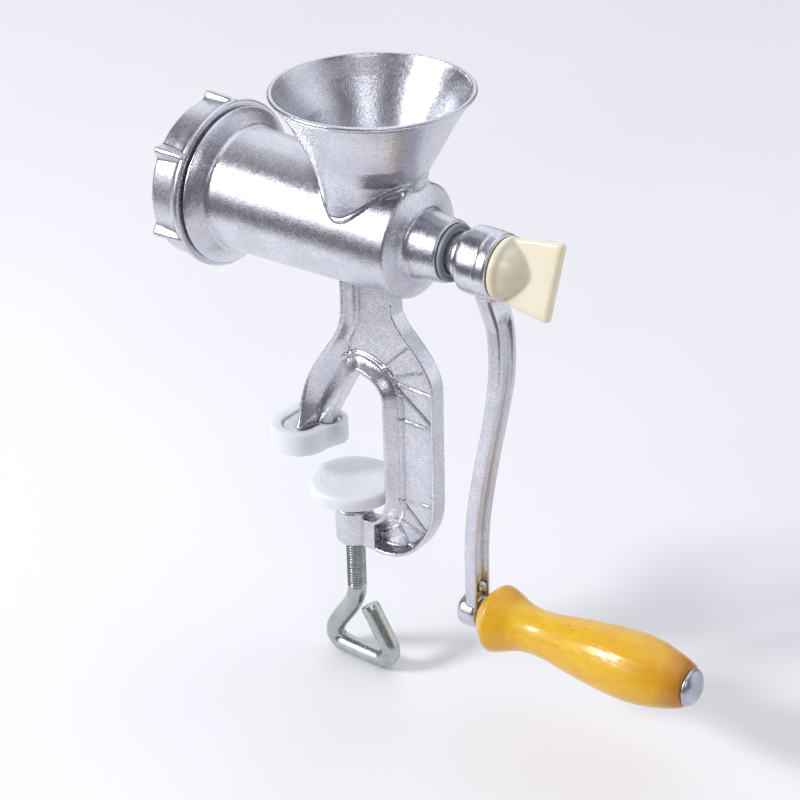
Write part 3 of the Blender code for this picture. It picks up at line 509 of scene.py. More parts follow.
def lacquered_wood(name):
    """Turned hardwood under thick yellow lacquer: streaks along the grip, orange clouding,
    browning at the far (+X) end, short pores."""
    yellow, amber, orange = (0.82, 0.51, 0.010), (0.78, 0.44, 0.012), (0.72, 0.33, 0.014)
    streak_brown, pore_brown = (0.66, 0.28, 0.010), (0.30, 0.11, 0.012)
    end_brown, head_orange, bulb_orange = (0.26, 0.075, 0.008), (0.72, 0.31, 0.014), (0.72, 0.30, 0.012)

    material, nodes = new_material(name)
    tilt = (0.0, AXLE_TILT, 0.0)
    streak_vector = nodes.coords((38.0, 700.0, 700.0), tilt)
    pore_vector = nodes.coords((150.0, 1500.0, 1500.0), tilt)
    plain = nodes.coords()
    cloud = nodes.noise(plain, scale=34.0, detail=4.0, roughness=0.62, distortion=0.6)
    streak = nodes.noise(streak_vector, scale=1.0, detail=4.0, roughness=0.65, distortion=0.5)
    pores = nodes.noise(pore_vector, scale=1.0)
    tone = nodes.ramp(cloud, [(0.30, orange), (0.44, amber), (0.56, yellow)])
    tone = nodes.mix(nodes.mapped(streak, span=(0.42, 0.72), to=(0.0, 0.42)), tone, streak_brown)
    tone = nodes.mix(nodes.mapped(pores, span=(0.66, 0.74), to=(0.0, 0.45)), tone, pore_brown)

    # tones that depend on the place along the grip, their borders wandering with the clouds
    low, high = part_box("handle_grip")
    split = nodes.add("SeparateXYZ", Vector=nodes.add("TexCoord").outputs["Object"])
    wander = nodes.math("MULTIPLY", nodes.math("SUBTRACT", cloud, 0.5), 0.014)
    along = nodes.math("ADD", split.outputs["X"], wander)
    end = nodes.mapped(along, span=(high.x - 0.0130, high.x - 0.0030), to=(0.0, 0.85))
    tone = nodes.mix(end, tone, end_brown)
    head = nodes.mapped(along, span=(high.x - 0.060, high.x - 0.004), to=(0.0, 0.42))
    tone = nodes.mix(head, tone, head_orange)
    bulb = nodes.math("MULTIPLY",
                      nodes.mapped(along, span=(low.x + 0.022, low.x + 0.012), to=(0.0, 0.5)),
                      nodes.mapped(along, span=(low.x + 0.004, low.x + 0.011), to=(0.0, 1.0)))
    tone = nodes.mix(bulb, tone, bulb_orange)
    nodes.surface(Base_Color=tone, Roughness=0.42, Specular_IOR_Level=0.25, Coat_Weight=0.7,
                  Coat_Roughness=0.075, Coat_IOR=1.5, Subsurface_Weight=0.0,
                  Subsurface_Radius=(0.004, 0.0018, 0.0005))
    ripple = nodes.noise(nodes.coords((150.0, 520.0, 520.0), tilt), scale=1.0, detail=3.0,
                         roughness=0.6)
    normals = nodes.bumps((ripple, 0.45, 0.0007), (streak, 0.22, 0.0005), (pores, 0.18, 0.0002))
    nodes.surface(Normal=normals[-1], Coat_Normal=normals[0])    # the coat has only the ripple
    return material


def moulded(name, colour, shade, rough, scatter, radius=(0.006, 0.006, 0.006), bump=0.05,
            coat=0.0):
    """Moulded plastic: light passes a little way in, the skin is faintly uneven."""
    material, nodes = new_material(name)
    vector = nodes.coords()
    cloud = nodes.noise(vector, scale=55.0, detail=3.0, roughness=0.55)
    fine = nodes.noise(vector, scale=900.0, roughness=0.6)
    nodes.surface(Base_Color=nodes.ramp(cloud, [(0.34, shade), (0.64, colour)]),
                  Roughness=nodes.mapped(fine, span=(0.3, 0.7), to=rough),
                  Subsurface_Weight=scatter, Subsurface_Radius=radius, Subsurface_Scale=1.0,
                  Coat_Weight=coat, Coat_Roughness=0.12,
                  Normal=nodes.bumps((cloud, 0.10, 0.002), (fine, bump, 0.0003))[-1])
    return material


CAST = cast_metal("cast_body")
CAST_ARM = cast_metal("cast_arm", rough=(0.12, 0.24), grain=0.8)
CAST_NUT = cast_metal("cast_nut", rough=(0.24, 0.36), grain=0.9)
CAST_IN = cast_metal("cast_auger", light=(0.66, 0.66, 0.70), dark=(0.5, 0.5, 0.54),
                     rough=(0.3, 0.45))
STEEL = bright_steel("rivet_steel", colour=(0.50, 0.52, 0.58), rough=(0.22, 0.36))
BRIGHT = bright_steel("plate_steel", colour=(0.62, 0.63, 0.66), rough=(0.18, 0.30))
ZINC = bright_steel("zinc_rod", colour=(0.52, 0.55, 0.54), rough=(0.16, 0.32))
WOOD = lacquered_wood("yellow_lacquered_wood")
WHITE = moulded("white_soft_plastic", colour=(0.84, 0.85, 0.92), shade=(0.78, 0.80, 0.88),
                rough=(0.28, 0.42), scatter=0.55, radius=(0.010, 0.010, 0.012))
CREAM = moulded("cream_plastic", colour=(0.86, 0.80, 0.64), shade=(0.84, 0.77, 0.58),
                rough=(0.12, 0.20), scatter=0.50, radius=(0.006, 0.0045, 0.0025), coat=0.35)
GREY = moulded("grey_bush_plastic", colour=(0.30, 0.32, 0.37), shade=(0.26, 0.28, 0.33),
               rough=(0.34, 0.5), scatter=0.0, bump=0.12)

# ------------------------------------------------------------------ C-frame of the body casting
FRAME_NEAR_Y, FRAME_FAR_Y, WEB_Y = -4.5, 4.5, 1.6   # near is the -Y side
RIM = 1.9                                           # flat rim inside the outline
GRID_PITCH = 0.62
LEG_TOP, LEG_BOTTOM = 46.0, 8.0                     # heights of the jaw leg

# Outline as (x, z) in three runs: outer +X side, inside of the C, outer -X side
OUTER_EDGE = smooth_line([
    (30.6, 101.5), (30.6, 88), (32.0, 84), (35.6, 79.0), (40.2, 74.4), (45.2, 69.4), (49.8, 63.6),
    (53.0, 57.6), (54.2, 51.0), (54.2, 44.0), (54.2, 44.0), (54.2, -12.0), (54.2, -12.0),
    (52.8, -21.2), (48.9, -30.6), (42.4, -39.8), (33.6, -46.6), (23.4, -49.9), (14.0, -49.9),
    (14.0, -49.9), (7.5, -49.8)], 0.9)
INNER_EDGE = smooth_line([
    (7.5, -34.0), (10.0, -34.0), (10.0, -34.0), (15.6, -32.6), (20.4, -28.2), (22.8, -22.0),
    (23.4, -16.0), (23.4, -16.0), (23.4, 34.0), (23.4, 34.0), (22.6, 40.4), (19.4, 45.2),
    (14.4, 48.0), (8.6, 49.6), (8.6, 49.6), (5.0, 45.4), (1.2, 39.4), (-3.6, 30.6), (-8.2, 22.0),
    (-12.4, 12.0), (-13.4, 8.0)], 0.9)
LEG_EDGE = smooth_line([
    (-24.6, 8.0), (-25.4, 14.0), (-26.2, 24.0), (-24.4, 34.0), (-20.4, 43.0), (-14.6, 52.2),
    (-8.6, 60.8), (-3.8, 68.8), (-1.4, 76.0), (-0.8, 84.0), (-0.8, 84.0), (-0.8, 101.5)], 0.9)
# Low ribs: the (x, z) of both ends
RIBS = [((20.5, 53.0), (36.0, 68.0)), ((27.4, 49.6), (45.6, 57.6)), ((29.4, 46.8), (49.0, 46.1)),
        ((30.0, 43.0), (48.4, 30.2)), ((30.2, 27.8), (49.0, 27.4)), ((29.4, -17.9), (48.4, -15.7)),
        ((31.0, -19.2), (45.6, -32.6)), ((25.0, -29.0), (42.0, -33.2)),
        ((26.0, -31.0), (35.0, -44.4))]


def segments(loop):
    """Starts and ends of a closed outline's edges."""
    starts = np.array(loop, float)
    return starts, np.roll(starts, -1, axis=0)


def distances(points, starts, ends):
    """Distance from each point to the nearest of the segments."""
    out = np.empty(len(points))
    edges = ends - starts
    squares = (edges ** 2).sum(1)
    squares[squares == 0] = 1e-12
    for first in range(0, len(points), 4000):
        chunk = points[first:first + 4000, None, :]
        share = np.clip(((chunk - starts[None]) * edges[None]).sum(2) / squares[None], 0, 1)
        gap = chunk - starts[None] - share[..., None] * edges[None]
        out[first:first + 4000] = np.sqrt((gap ** 2).sum(2)).min(1)
    return out


def within(points, loop):
    """Whether each point lies inside the closed outline."""
    hit = np.zeros(len(points), bool)
    for (x0, z0), (x1, z1) in zip(*segments(loop)):
        if z0 == z1:
            continue
        crosses = (z0 > points[:, 1]) != (z1 > points[:, 1])
        x = x0 + (points[:, 1] - z0) * (x1 - x0) / (z1 - z0)
        hit ^= crosses & (points[:, 0] < x)
    return hit


def fade(value):
    """The value held between 0 and 1."""
    return np.clip(value, 0, 1)


def outline_mesh(loop):
    """Even triangle mesh over the outline: its points and its triangles."""
    starts, ends = segments(loop)
    low, high = starts.min(0), starts.max(0)
    across, upward = np.meshgrid(np.arange(low[0], high[0], GRID_PITCH),
                                 np.arange(low[1], high[1], GRID_PITCH))
    grid = np.stack([across.ravel(), upward.ravel()], 1)
    grid[:, 0] += (np.round(grid[:, 1] / GRID_PITCH) % 2) * GRID_PITCH / 2
    grid = grid[within(grid, loop)]
    grid = grid[distances(grid, starts, ends) > 0.4]
    points = [Vector(p) for p in loop] + [Vector(p) for p in grid]
    count = len(loop)
    edges = [(i, (i + 1) % count) for i in range(count)]
    verts, _, faces, _, _, _ = delaunay_2d_cdt(points, edges, [list(range(count))], 1, 0.01)
    points = np.array([tuple(v) for v in verts])
    triangles = np.array([list(f)[:3] for f in faces])
    return points, triangles[within(points[triangles].mean(1), loop)]


def near_face(points):
    """Y of the frame's -Y face at each (x, z) point."""
    x, z = points[:, 0], points[:, 1]
    # down the jaw leg the rim leans: its -X edge towards -Y, its +X edge towards +Y
    rim = np.full(len(points), FRAME_NEAR_Y)
    leg = (x < 14) & (z < LEG_TOP) & (z > -5)
    down = np.clip((LEG_TOP - z) / (LEG_TOP - LEG_BOTTOM), 0, None)
    middle = -20.0 + (z - LEG_BOTTOM) * 26.0 / (LEG_TOP - LEG_BOTTOM)
    side = np.clip((middle - x) / 5.5, -1, 1)
    rim = np.where(leg & (side > 0), FRAME_NEAR_Y - 9.9 * side * down ** 2.2, rim)
    rim = np.where(leg & (side <= 0), FRAME_NEAR_Y + 6.0 * (-side) * down ** 1.6, rim)
    in_leg = fade((8.0 - x) / 9.0) * fade((62.0 - z) / 12.0) * (z > -5)

    def gap_to(line):
        line = np.array(line, float)
        return distances(points, line[:-1], line[1:])

    def wall(gap, width, crease=0.14):
        """Share of the fall from rim to web; the crease is the last step at the wall's foot."""
        slope = 1 - (1 - fade((gap - RIM) / width)) ** (1.7 - 0.5 * in_leg)
        return (1 - crease) * slope + crease * fade((gap - RIM - width) / 0.5)

    hollow_walls = [(gap_to(INNER_EDGE), 5.6 + 4.4 * in_leg), (gap_to(LEG_EDGE), 4.2 + 5.0 * in_leg)]
    share = np.minimum(wall(gap_to(OUTER_EDGE), 1.8, crease=0.0),
                       np.minimum(*[wall(gap, width) for gap, width in hollow_walls]))
    face = rim + (WEB_Y - rim) * share
    for start, end in RIBS:
        gap = distances(points, np.array([start]), np.array([end]))
        face -= 0.66 * fade(1.45 - gap / 0.55) * fade((share - 0.25) / 0.4)
    for gap, width in hollow_walls:     # fine raised line along the foot of each wall
        off = np.abs(gap - RIM - width)
        face -= 0.80 * fade(1.6 - off / 0.55) * fade((share - 0.7) / 0.2) * (z > -30)
    return face


def frame_relief():
    """The C-frame as a height field over its outline: a flat rim, walls that fall to a thin web
    (steep outside, long and hollow inside, meeting in a valley down the jaw leg) and low ribs."""
    loop = (OUTER_EDGE + INNER_EDGE + LEG_EDGE)[::-1]
    points, triangles = outline_mesh(loop)
    near_y = near_face(points)
    far_y = FRAME_FAR_Y - 1.0 * fade((distances(points, *segments(loop)) - 2.8) / 1.0)
    bm = bmesh.new()
    near, far = ([bm.verts.new((x, y, z)) for (x, z), y in zip(points, depth)]
                 for depth in (near_y, far_y))
    near, far = list(near), list(far)
    for triangle in triangles:
        bm.faces.new([near[i] for i in triangle])
        bm.faces.new([far[i] for i in reversed(triangle)])
    rim = [int(np.argmin(((points - np.array(p)) ** 2).sum(1))) for p in loop]
    for i, j in zip(rim, rim[1:] + rim[:1]):
        if i != j:
            bm.faces.new((near[i], near[j], far[j], far[i]))
    loose = [v for v in bm.verts if not v.link_faces]
    bmesh.ops.delete(bm, geom=loose, context="VERTS")
    return scratch(bm)


# ------------------------------------------------------------------ body casting
NUT_END_X, CRANK_END_X, NECK_END_X = -80.0, 44.6, 64.2
THREAD_R, SEAT_R, BORE_R = 36.5, 31.4, 24.0
BARREL_NUT_X, BARREL_NUT_R, BARREL_CRANK_R = -57.6, 30.6, 27.4     # the barrel tapers to the crank
BODY_STEPS = 144
HOPPER_X, HOPPER_R, HOPPER_TOP = 19.6, 47.5, AXIS_Z + 68.8
HOPPER_WALL = 1.8
ON_HOPPER = Matrix.Translation((HOPPER_X, 0, 0)) @ UPRIGHT

# Hopper's outside and passage: (depth below the top, radius)
HOPPER_OUTSIDE = [
    (0.0, HOPPER_R - 0.9), (0.3, HOPPER_R - 0.2), (1.0, HOPPER_R), (1.8, HOPPER_R - 0.25),
    (2.6, 45.9), (4.0, 44.9), (8.8, 41.6), (13.8, 38.6), (18.8, 35.9), (23.8, 33.3), (28.8, 31.0),
    (33.8, 28.8), (38.8, 26.9), (43.8, 25.6), (48.8, 24.7), (54.0, 24.2), (66.0, 23.9)]
HOPPER_PASSAGE = [
    (-2.0, HOPPER_R - 2.3), (0.8, HOPPER_R - 2.3), (2.2, 44.2), (8.8, 39.5), (18.8, 33.5),
    (28.8, 28.6), (38.8, 24.2), (44.0, 20.9), (48.0, 19.0), (54.0, 17.9), (68.0, 17.4)]


def at_heights(table):
    return [(HOPPER_TOP - depth, radius) for depth, radius in table]


SKIN_HEIGHTS, SKIN_RADII = zip(*at_heights(HOPPER_OUTSIDE)[::-1])


def arc_points(centre, radius, count):
    """Points 6 degrees apart on a circle, from its -X side round by -Y."""
    return [(centre[0] + radius * math.cos(angle), centre[1] + radius * math.sin(angle))
            for angle in (math.radians(180 + k * 6) for k in range(count))]


def foot_outline():
    """The jaw foot's (x, y) outline."""
    return arc_points(centre=(-26.4, -8.2), radius=8.7, count=31) + smooth_line([
        (-17.5, -5.6), (-16.3, -3.5), (-14.1, -1.5), (-12.1, 0.8), (-11.3, 4.4), (-12.8, 8.0),
        (-16.4, 9.2), (-30.0, 9.2), (-34.0, 7.6), (-35.1, 3.8)])


def throat_factor(angle, z, radius):
    """Factor on the hopper's radius low down: narrower towards the crank side, a little fuller at
    the two flanks."""
    if radius < 1.0:
        return 1.0
    low = max(0.0, min(1.0, (AXIS_Z + 43.0 - z) / 15.0))
    low = low * low * (3 - 2 * low)
    flank = 1.7 * low * math.exp(-((abs(math.degrees(angle)) - 106.0) / 20.0) ** 2)
    if abs(angle) > math.pi / 2:
        return 1.0 + flank / radius
    return 1.0 + (flank - 4.3 * low * math.sin(2 * angle) ** 2) / radius


def skin_radius(angle, z):
    """The finished hopper's outer radius."""
    radius = float(np.interp(z, SKIN_HEIGHTS, SKIN_RADII))
    return radius * throat_factor(angle, z, radius)


def passage_factor(angle, z, radius):
    """Factor on the passage's radius that keeps a wall inside the throat."""
    if radius < 1.0 or z > AXIS_Z + 48:
        return 1.0
    return min(1.0, (skin_radius(angle, z) - HOPPER_WALL) / radius)


def hopper_solid(table, factor, spin):
    """Solid turned on the hopper's axis, its radii multiplied by factor(angle, z, radius)."""
    obj = turned(capped(at_heights(table)), BODY_STEPS, ON_HOPPER, spin)
    for vertex in obj.data.vertices:
        out_x, y = vertex.co.x - HOPPER_X, vertex.co.y
        k = factor(math.atan2(y, out_x), vertex.co.z, math.hypot(out_x, y))
        vertex.co.x = HOPPER_X + out_x * k
        vertex.co.y *= k
    return obj


def barrel_top(x, y):
    """Height of the barrel's upper surface."""
    radius = float(np.interp(x, [BARREL_NUT_X, CRANK_END_X], [BARREL_NUT_R, BARREL_CRANK_R]))
    return AXIS_Z + math.sqrt(max(1.0, radius ** 2 - y ** 2))


def throat_bead():
    """Raised edge where the hopper's crank side meets the barrel; towards the crank end it climbs
    above the barrel on a short apron."""
    half_count, apron_angle = 56, 52.0
    axis = Vector((HOPPER_X, 0, 0))
    line, apron = [], []
    for k in range(-half_count, half_count + 1):
        angle = math.radians(k * 1.95)
        z = AXIS_Z + 20.0
        for _ in range(12):     # settles on the seam between hopper and barrel
            seam_r = skin_radius(angle, z)
            z = barrel_top(HOPPER_X + seam_r * math.cos(angle), seam_r * math.sin(angle))
        rise = 5.6 * max(0.0, 1.0 - abs(math.degrees(angle)) / apron_angle) ** 1.1
        bead_r = skin_radius(angle, z + rise)
        ray = Vector((math.cos(angle), math.sin(angle), 0))
        crest = axis + ray * bead_r + Vector((0, 0, z + rise))
        line.append(crest)
        if abs(math.degrees(angle)) < apron_angle:
            room = (CRANK_END_X + 0.4 - HOPPER_X) / max(0.2, math.cos(angle)) - seam_r
            toe = axis + ray * (seam_r + min(1.3 * rise, max(0.3, room)))
            toe.z = barrel_top(toe.x, toe.y) - 0.9
            low_in = axis + ray * (seam_r - 1.2) + Vector((0, 0, z - 1.6))
            top_in = axis + ray * (bead_r - 1.2) + Vector((0, 0, z + rise))
            middle = crest.lerp(toe, 0.5) - Vector((0, 0, 0.10 * rise))
            apron.append((low_in, toe, middle, crest, top_in))
    sections = []
    last = len(line) - 1
    for i, point in enumerate(line):
        tangent = (line[min(i + 1, last)] - line[max(i - 1, 0)]).normalized()
        out = Vector((0, point.y, point.z - AXIS_Z)).normalized()
        side = tangent.cross(out).normalized()
        out = side.cross(tangent).normalized()
        taper = min(1.0, (min(i, last - i) + 1) / 12)
        size = 0.72 + 0.22 * max(0.0, 1.0 - abs(i - half_count) / 40.0)
        sections.append([point + out * 0.3
                         + (side * math.cos(turn) + out * math.sin(turn)) * size * taper
                         for turn in (math.tau * j / 10 for j in range(10))])
    return join([loft(sections, caps_flipped=True), loft(apron, caps_flipped=True, split_over=3)])


def build_body():
    """Barrel with its thread and neck, hopper, C-frame, screw boss and jaw foot in one casting."""
    core = turned(capped([
        (NUT_END_X, THREAD_R - 0.6), (NUT_END_X + 0.6, THREAD_R), (-67.2, THREAD_R),
        (-66.9, 38.2), (-66.2, 38.6), (-65.4, 38.4), (-63.5, 36.6), (-60.6, 33.2), (-59.2, 31.4),
        (BARREL_NUT_X, BARREL_NUT_R), (-20, 29.33), (10, 28.4),
        (CRANK_END_X - 0.6, BARREL_CRANK_R + 0.1), (CRANK_END_X, BARREL_CRANK_R - 0.5),
        (45.4, 25.0), (46.4, 22.0), (47.2, 19.2), (48.2, 17.2), (49.4, 16.5),
        (NECK_END_X - 0.6, 14.9), (NECK_END_X, 14.4)]), BODY_STEPS)
    hopper = hopper_solid(HOPPER_OUTSIDE, throat_factor, spin=0.01)
    foot = slab(foot_outline(), 4.3, 11.2)
    boss = turned(capped([(-30.0, 9.0), (-30.8, 9.8), (-48.2, 9.7), (-49.4, 9.3), (-50.1, 8.2)]),
                  96, UPRIGHT)
    boss_web = block((5.6, -4.5, -49.2), (16.0, 4.5, -34.4))
    passage = hopper_solid(HOPPER_PASSAGE, passage_factor, spin=0.02)
    chamber = turned(capped([
        (NUT_END_X - 2.0, SEAT_R), (-77.0, SEAT_R), (-77.0, BORE_R), (40.0, BORE_R),
        (41.3, BORE_R - 1.3), (41.3, 13.1), (NECK_END_X + 2.0, 13.1)]), BODY_STEPS, spin=0.013)
    bore = rod(-40.0, 40.0, BORE_R, 120, spin=0.004)
    combine(core, cut=[chamber, copy(passage)])
    combine(hopper, cut=[passage, bore])
    combine(boss, cut=[rod(-56, -26, 5.3, 48, UPRIGHT)])
    body = join([core, hopper, boss, boss_web, foot, throat_bead(), frame_relief()])
    return cast(body, voxel=0.5, rounds=3, ripple=0.015, ripple_size=8.0)


place(build_body(), "cast_body_shell", "frame", "body_casting", CAST)

# ------------------------------------------------------------------ ring nut
LUG_COUNT, LUG_FIRST_ANGLE = 6, 23
# Stations along a lug: x, crest radius, factor on its width
LUG_STATIONS = [(-87.05, 41.9, 0.80), (-86.7, 42.7, 0.94), (-86.0, 43.0, 1.0), (-80.0, 42.7, 1.0),
                (-75.0, 42.5, 0.96), (-71.0, 42.3, 0.9), (-69.2, 41.8, 0.85), (-68.4, 40.8, 0.7)]


def nut_lug(angle):
    """Grip lug along the nut's outside."""
    sections = []
    for x, crest, width in LUG_STATIONS:
        half = [(-5.2, 38.0), (-4.0, 38.7), (-2.9, 39.7), (-2.1, 40.9), (-1.5, crest - 0.55),
                (-0.6, crest)]
        outline = half + [(-across, radius) for across, radius in half[::-1]]
        sections.append([
            (x, width * across * -math.sin(angle) + radius * math.cos(angle),
             AXIS_Z + width * across * math.cos(angle) + radius * math.sin(angle))
            for across, radius in outline])
    return loft(sections, caps_flipped=True)


def build_nut():
    ring = turned([
        (-87.0, 28.6), (-87.0, 37.4), (-86.6, 38.4), (-85.8, 38.9), (-73.6, 39.7), (-72.2, 40.0),
        (-71.4, 40.9), (-70.6, 41.35), (-69.2, 41.4), (-68.3, 40.9), (-68.0, 40.2), (-68.0, 36.9),
        (-83.6, 36.9), (-83.6, 28.6)], 144)
    lugs = [nut_lug(math.radians(LUG_FIRST_ANGLE + 360 // LUG_COUNT * k)) for k in range(LUG_COUNT)]
    combine(ring, add=lugs, cut=[rod(-83.55, -59, 36.95, 144, spin=0.01)])
    return cast(ring, voxel=0.42, rounds=4, ripple=0.02, ripple_size=7.0)


place(build_nut(), "ring_nut_shell", "ring", "ring_nut", CAST_NUT)

# ------------------------------------------------------------------ plate, pin, knife, stud
# Rings of holes: count, radius, phase
HOLE_RINGS = [(6, 11.0, 0.0), (10, 18.0, 0.1), (14, 24.6, 0.0)]


def build_plate():
    """Disc with a centre hole, a key notch at the top and rings of countersunk holes."""
    plate = rod(-83.3, -77.3, 31.0, 128, edge=0.4)
    cutters = [rod(-90, -70, 5.0, 48), block((-90, -1.9, AXIS_Z + 26.8), (-70, 1.9, AXIS_Z + 34))]
    for count, radius, phase in HOLE_RINGS:
        for k in range(count):
            angle = math.tau * (k + 0.5) / count + phase
            y, z = radius * math.cos(angle), radius * math.sin(angle)
            if abs(y) < 5.0 and z > 21:     # clear of the notch
                continue
            cutters.append(turned(capped([(-84.5, 3.6), (-83.2, 2.5), (-70, 2.5)]), 28,
                                  barrel_pose(y, z)))
    return combine(plate, cut=[join(cutters)])


def build_knife():
    """Four-armed knife on a round hub with a square hole."""
    hub = rod(-76.8, -71.6, 9.0, 64, edge=0.5)
    blades = []
    for k in range(4):
        pose = (Matrix.Translation((-74.2, 0, AXIS_Z))
                @ Matrix.Rotation(math.radians(45 + 90 * k), 4, "X"))
        blades.append(block((-2.6, -3.4, 5.0), (1.6, 3.4, 23.0), pose))
    combine(hub, add=blades, cut=[square_bar(-80, -70, 5.0)])
    return cast(hub, voxel=0.4, rounds=2)


def build_stud():
    """Round pin with a square collar for the knife."""
    return combine(rod(-87.6, -62.0, 4.0, 48, edge=0.8), add=[square_bar(-76.9, -71.3, 4.6)])


place(build_plate(), "hole_plate_disc", "plate", "hole_plate", BRIGHT, sharp=35)
place(rod(-80.4, -75.2, 1.5, 32, barrel_pose(z=28.6), edge=0.3),
      "plate_key", "frame", "plate_key_pin", BRIGHT, sharp=40)
place(build_knife(), "knife_cross", "rotor", "cross_knife", BRIGHT)
place(build_stud(), "knife_pin", "rotor", "knife_stud", BRIGHT, sharp=35)

# ------------------------------------------------------------------ auger
FLIGHT_TURNS, FLIGHT_STEPS_PER_TURN = -3.1, 64
FLIGHT_START_X, FLIGHT_LENGTH = -68.4, 103.4


def auger_flight():
    """Helical blade, lower at its two ends."""
    sections = []
    count = int(abs(FLIGHT_TURNS) * FLIGHT_STEPS_PER_TURN)
    for i in range(count + 1):
        share = i / count
        angle = math.tau * FLIGHT_TURNS * share
        x = FLIGHT_START_X + FLIGHT_LENGTH * share
        tip = 8.0 + 15.2 * min(1.0, 8.0 * share + 0.55, 8.0 * (1 - share) + 0.4)
        half = [(-2.6, 6.0), (-1.9, 10.0), (-1.3, 0.5 * (10 + tip)), (-1.1, tip - 0.5), (-0.7, tip)]
        section = []
        for along, radius in half + [(-along, radius) for along, radius in half[::-1]]:
            radius = min(radius, tip)
            section.append((x + along, radius * math.cos(angle),
                            AXIS_Z + radius * math.sin(angle)))
        sections.append(section)
    return loft(sections, caps_flipped=True, sides_flipped=True)


def build_auger():
    """Tapered core with its flight, a square end for the crank and a hole in each end."""
    core = turned(capped([
        (-71.0, 8.6), (-70.6, 9.0), (20.0, 12.0), (38.9, 14.4), (39.4, 14.0), (39.4, 9.7),
        (69.2, 9.7), (69.2, 6.0), (88.4, 6.0)]), 96)
    combine(core, add=[auger_flight(), square_bar(66.0, 88.4, 6.7)],
            cut=[rod(70, 100, 4.2, 40), rod(-76, -62, 4.3, 40)])
    return cast(core, voxel=0.6, rounds=3)


def build_bush():
    """Sleeve in the neck with a grooved collar at its crank end."""
    return turned([
        (41.4, 10.0), (41.4, 12.8), (64.5, 12.8), (64.5, 13.3), (64.6, 13.6), (64.9, 13.75),
        (65.9, 13.75), (66.3, 13.6), (66.5, 13.2), (66.5, 12.3), (66.2, 11.9), (65.8, 11.7),
        (65.8, 11.2), (66.1, 10.9), (66.1, 10.2), (65.9, 10.0)], 96)


place(build_auger(), "auger_screw", "rotor", "auger", CAST_IN)
place(washer(39.7, 40.9, inner=10.1, outer=15.6, steps=64, edge=0.2),
      "thrust_ring", "frame", "thrust_washer", WHITE, sharp=40)
place(build_bush(), "neck_bush", "frame", "bearing_bush", GREY, sharp=50)

# ------------------------------------------------------------------ crank
# Arm: distance below the barrel's axis, x of the inner (-X) face, thickness
ARM = [(4, 79.4, 11.0), (14, 80.6, 8.8), (30, 85.9, 8.2), (45, 87.4, 7.9), (60, 86.8, 7.7),
       (80, 84.0, 7.0), (100, 80.0, 7.0), (122, 76.0, 7.2), (140, 73.7, 7.0), (156, 72.9, 6.9),
       (170, 73.1, 6.7), (182, 73.3, 6.6), (191, 73.2, 6.6)]
ARM_START, ARM_END, ARM_PARTS = 6, 189.0, 120
GROOVE_DEPTH = 1.9
PIP_DOWN = 175.5


def arm_line(down):
    """Inner face x and thickness of the arm at a distance below the barrel's axis."""
    i = next(k for k in range(len(ARM) - 1) if down <= ARM[k + 1][0])
    before, start, end = ARM[max(0, i - 1)], ARM[i], ARM[i + 1]
    after = ARM[min(len(ARM) - 1, i + 2)]
    span = end[0] - start[0]
    t = (down - start[0]) / span
    out = []
    for k in (1, 2):
        slope_in = (end[k] - before[k]) / (end[0] - before[0]) * span
        slope_out = (after[k] - start[k]) / (after[0] - start[0]) * span
        out.append((2 * t ** 3 - 3 * t ** 2 + 1) * start[k] + (t ** 3 - 2 * t ** 2 + t) * slope_in
                   + (-2 * t ** 3 + 3 * t ** 2) * end[k] + (t ** 3 - t ** 2) * slope_out)
    return out


def crank_bar():
    """The arm between hub and eye, with a groove down its outer (+X) face."""
    sections = []
    for k in range(ARM_PARTS + 1):
        down = ARM_START + k * (ARM_END - ARM_START) / ARM_PARTS
        inner, thick = arm_line(down)
        outer = inner + thick
        half = 6.4 if down > 30 else 6.4 + (30 - down) * 0.06
        groove = max(0.0, min(1.0, (down - 24) / 4.0, (187.5 - down) / 5.0)) * GROOVE_DEPTH
        outline = [
            (inner + 1.4, -half), (outer - 1.3, -half), (outer - 0.45, -half + 0.3),
            (outer, -half + 1.1), (outer, -4.4), (outer - 0.7 * groove, -3.9),
            (outer - groove, -3.2), (outer - groove, 2.6), (outer - 0.7 * groove, 3.3),
            (outer, 3.8), (outer, half - 1.1), (outer - 0.45, half - 0.3), (outer - 1.3, half),
            (inner + 1.4, half), (inner + 0.4, half - 0.4), (inner, half - 1.4),
            (inner, -half + 1.4), (inner + 0.4, -half + 0.4)]
        sections.append([(x, y, AXIS_Z - down) for x, y in outline])
    return loft(sections)


def crank_pip():
    """Pip left at the lower end of the groove."""
    inner, thick = arm_line(PIP_DOWN)
    bm = bmesh.new()
    bmesh.ops.create_icosphere(bm, subdivisions=4, radius=2.6)
    bmesh.ops.scale(bm, vec=(0.8, 1.0, 1.15), verts=bm.verts)
    bmesh.ops.translate(bm, vec=(inner + thick - 0.7, -0.3, AXIS_Z - PIP_DOWN), verts=bm.verts)
    return scratch(bm)


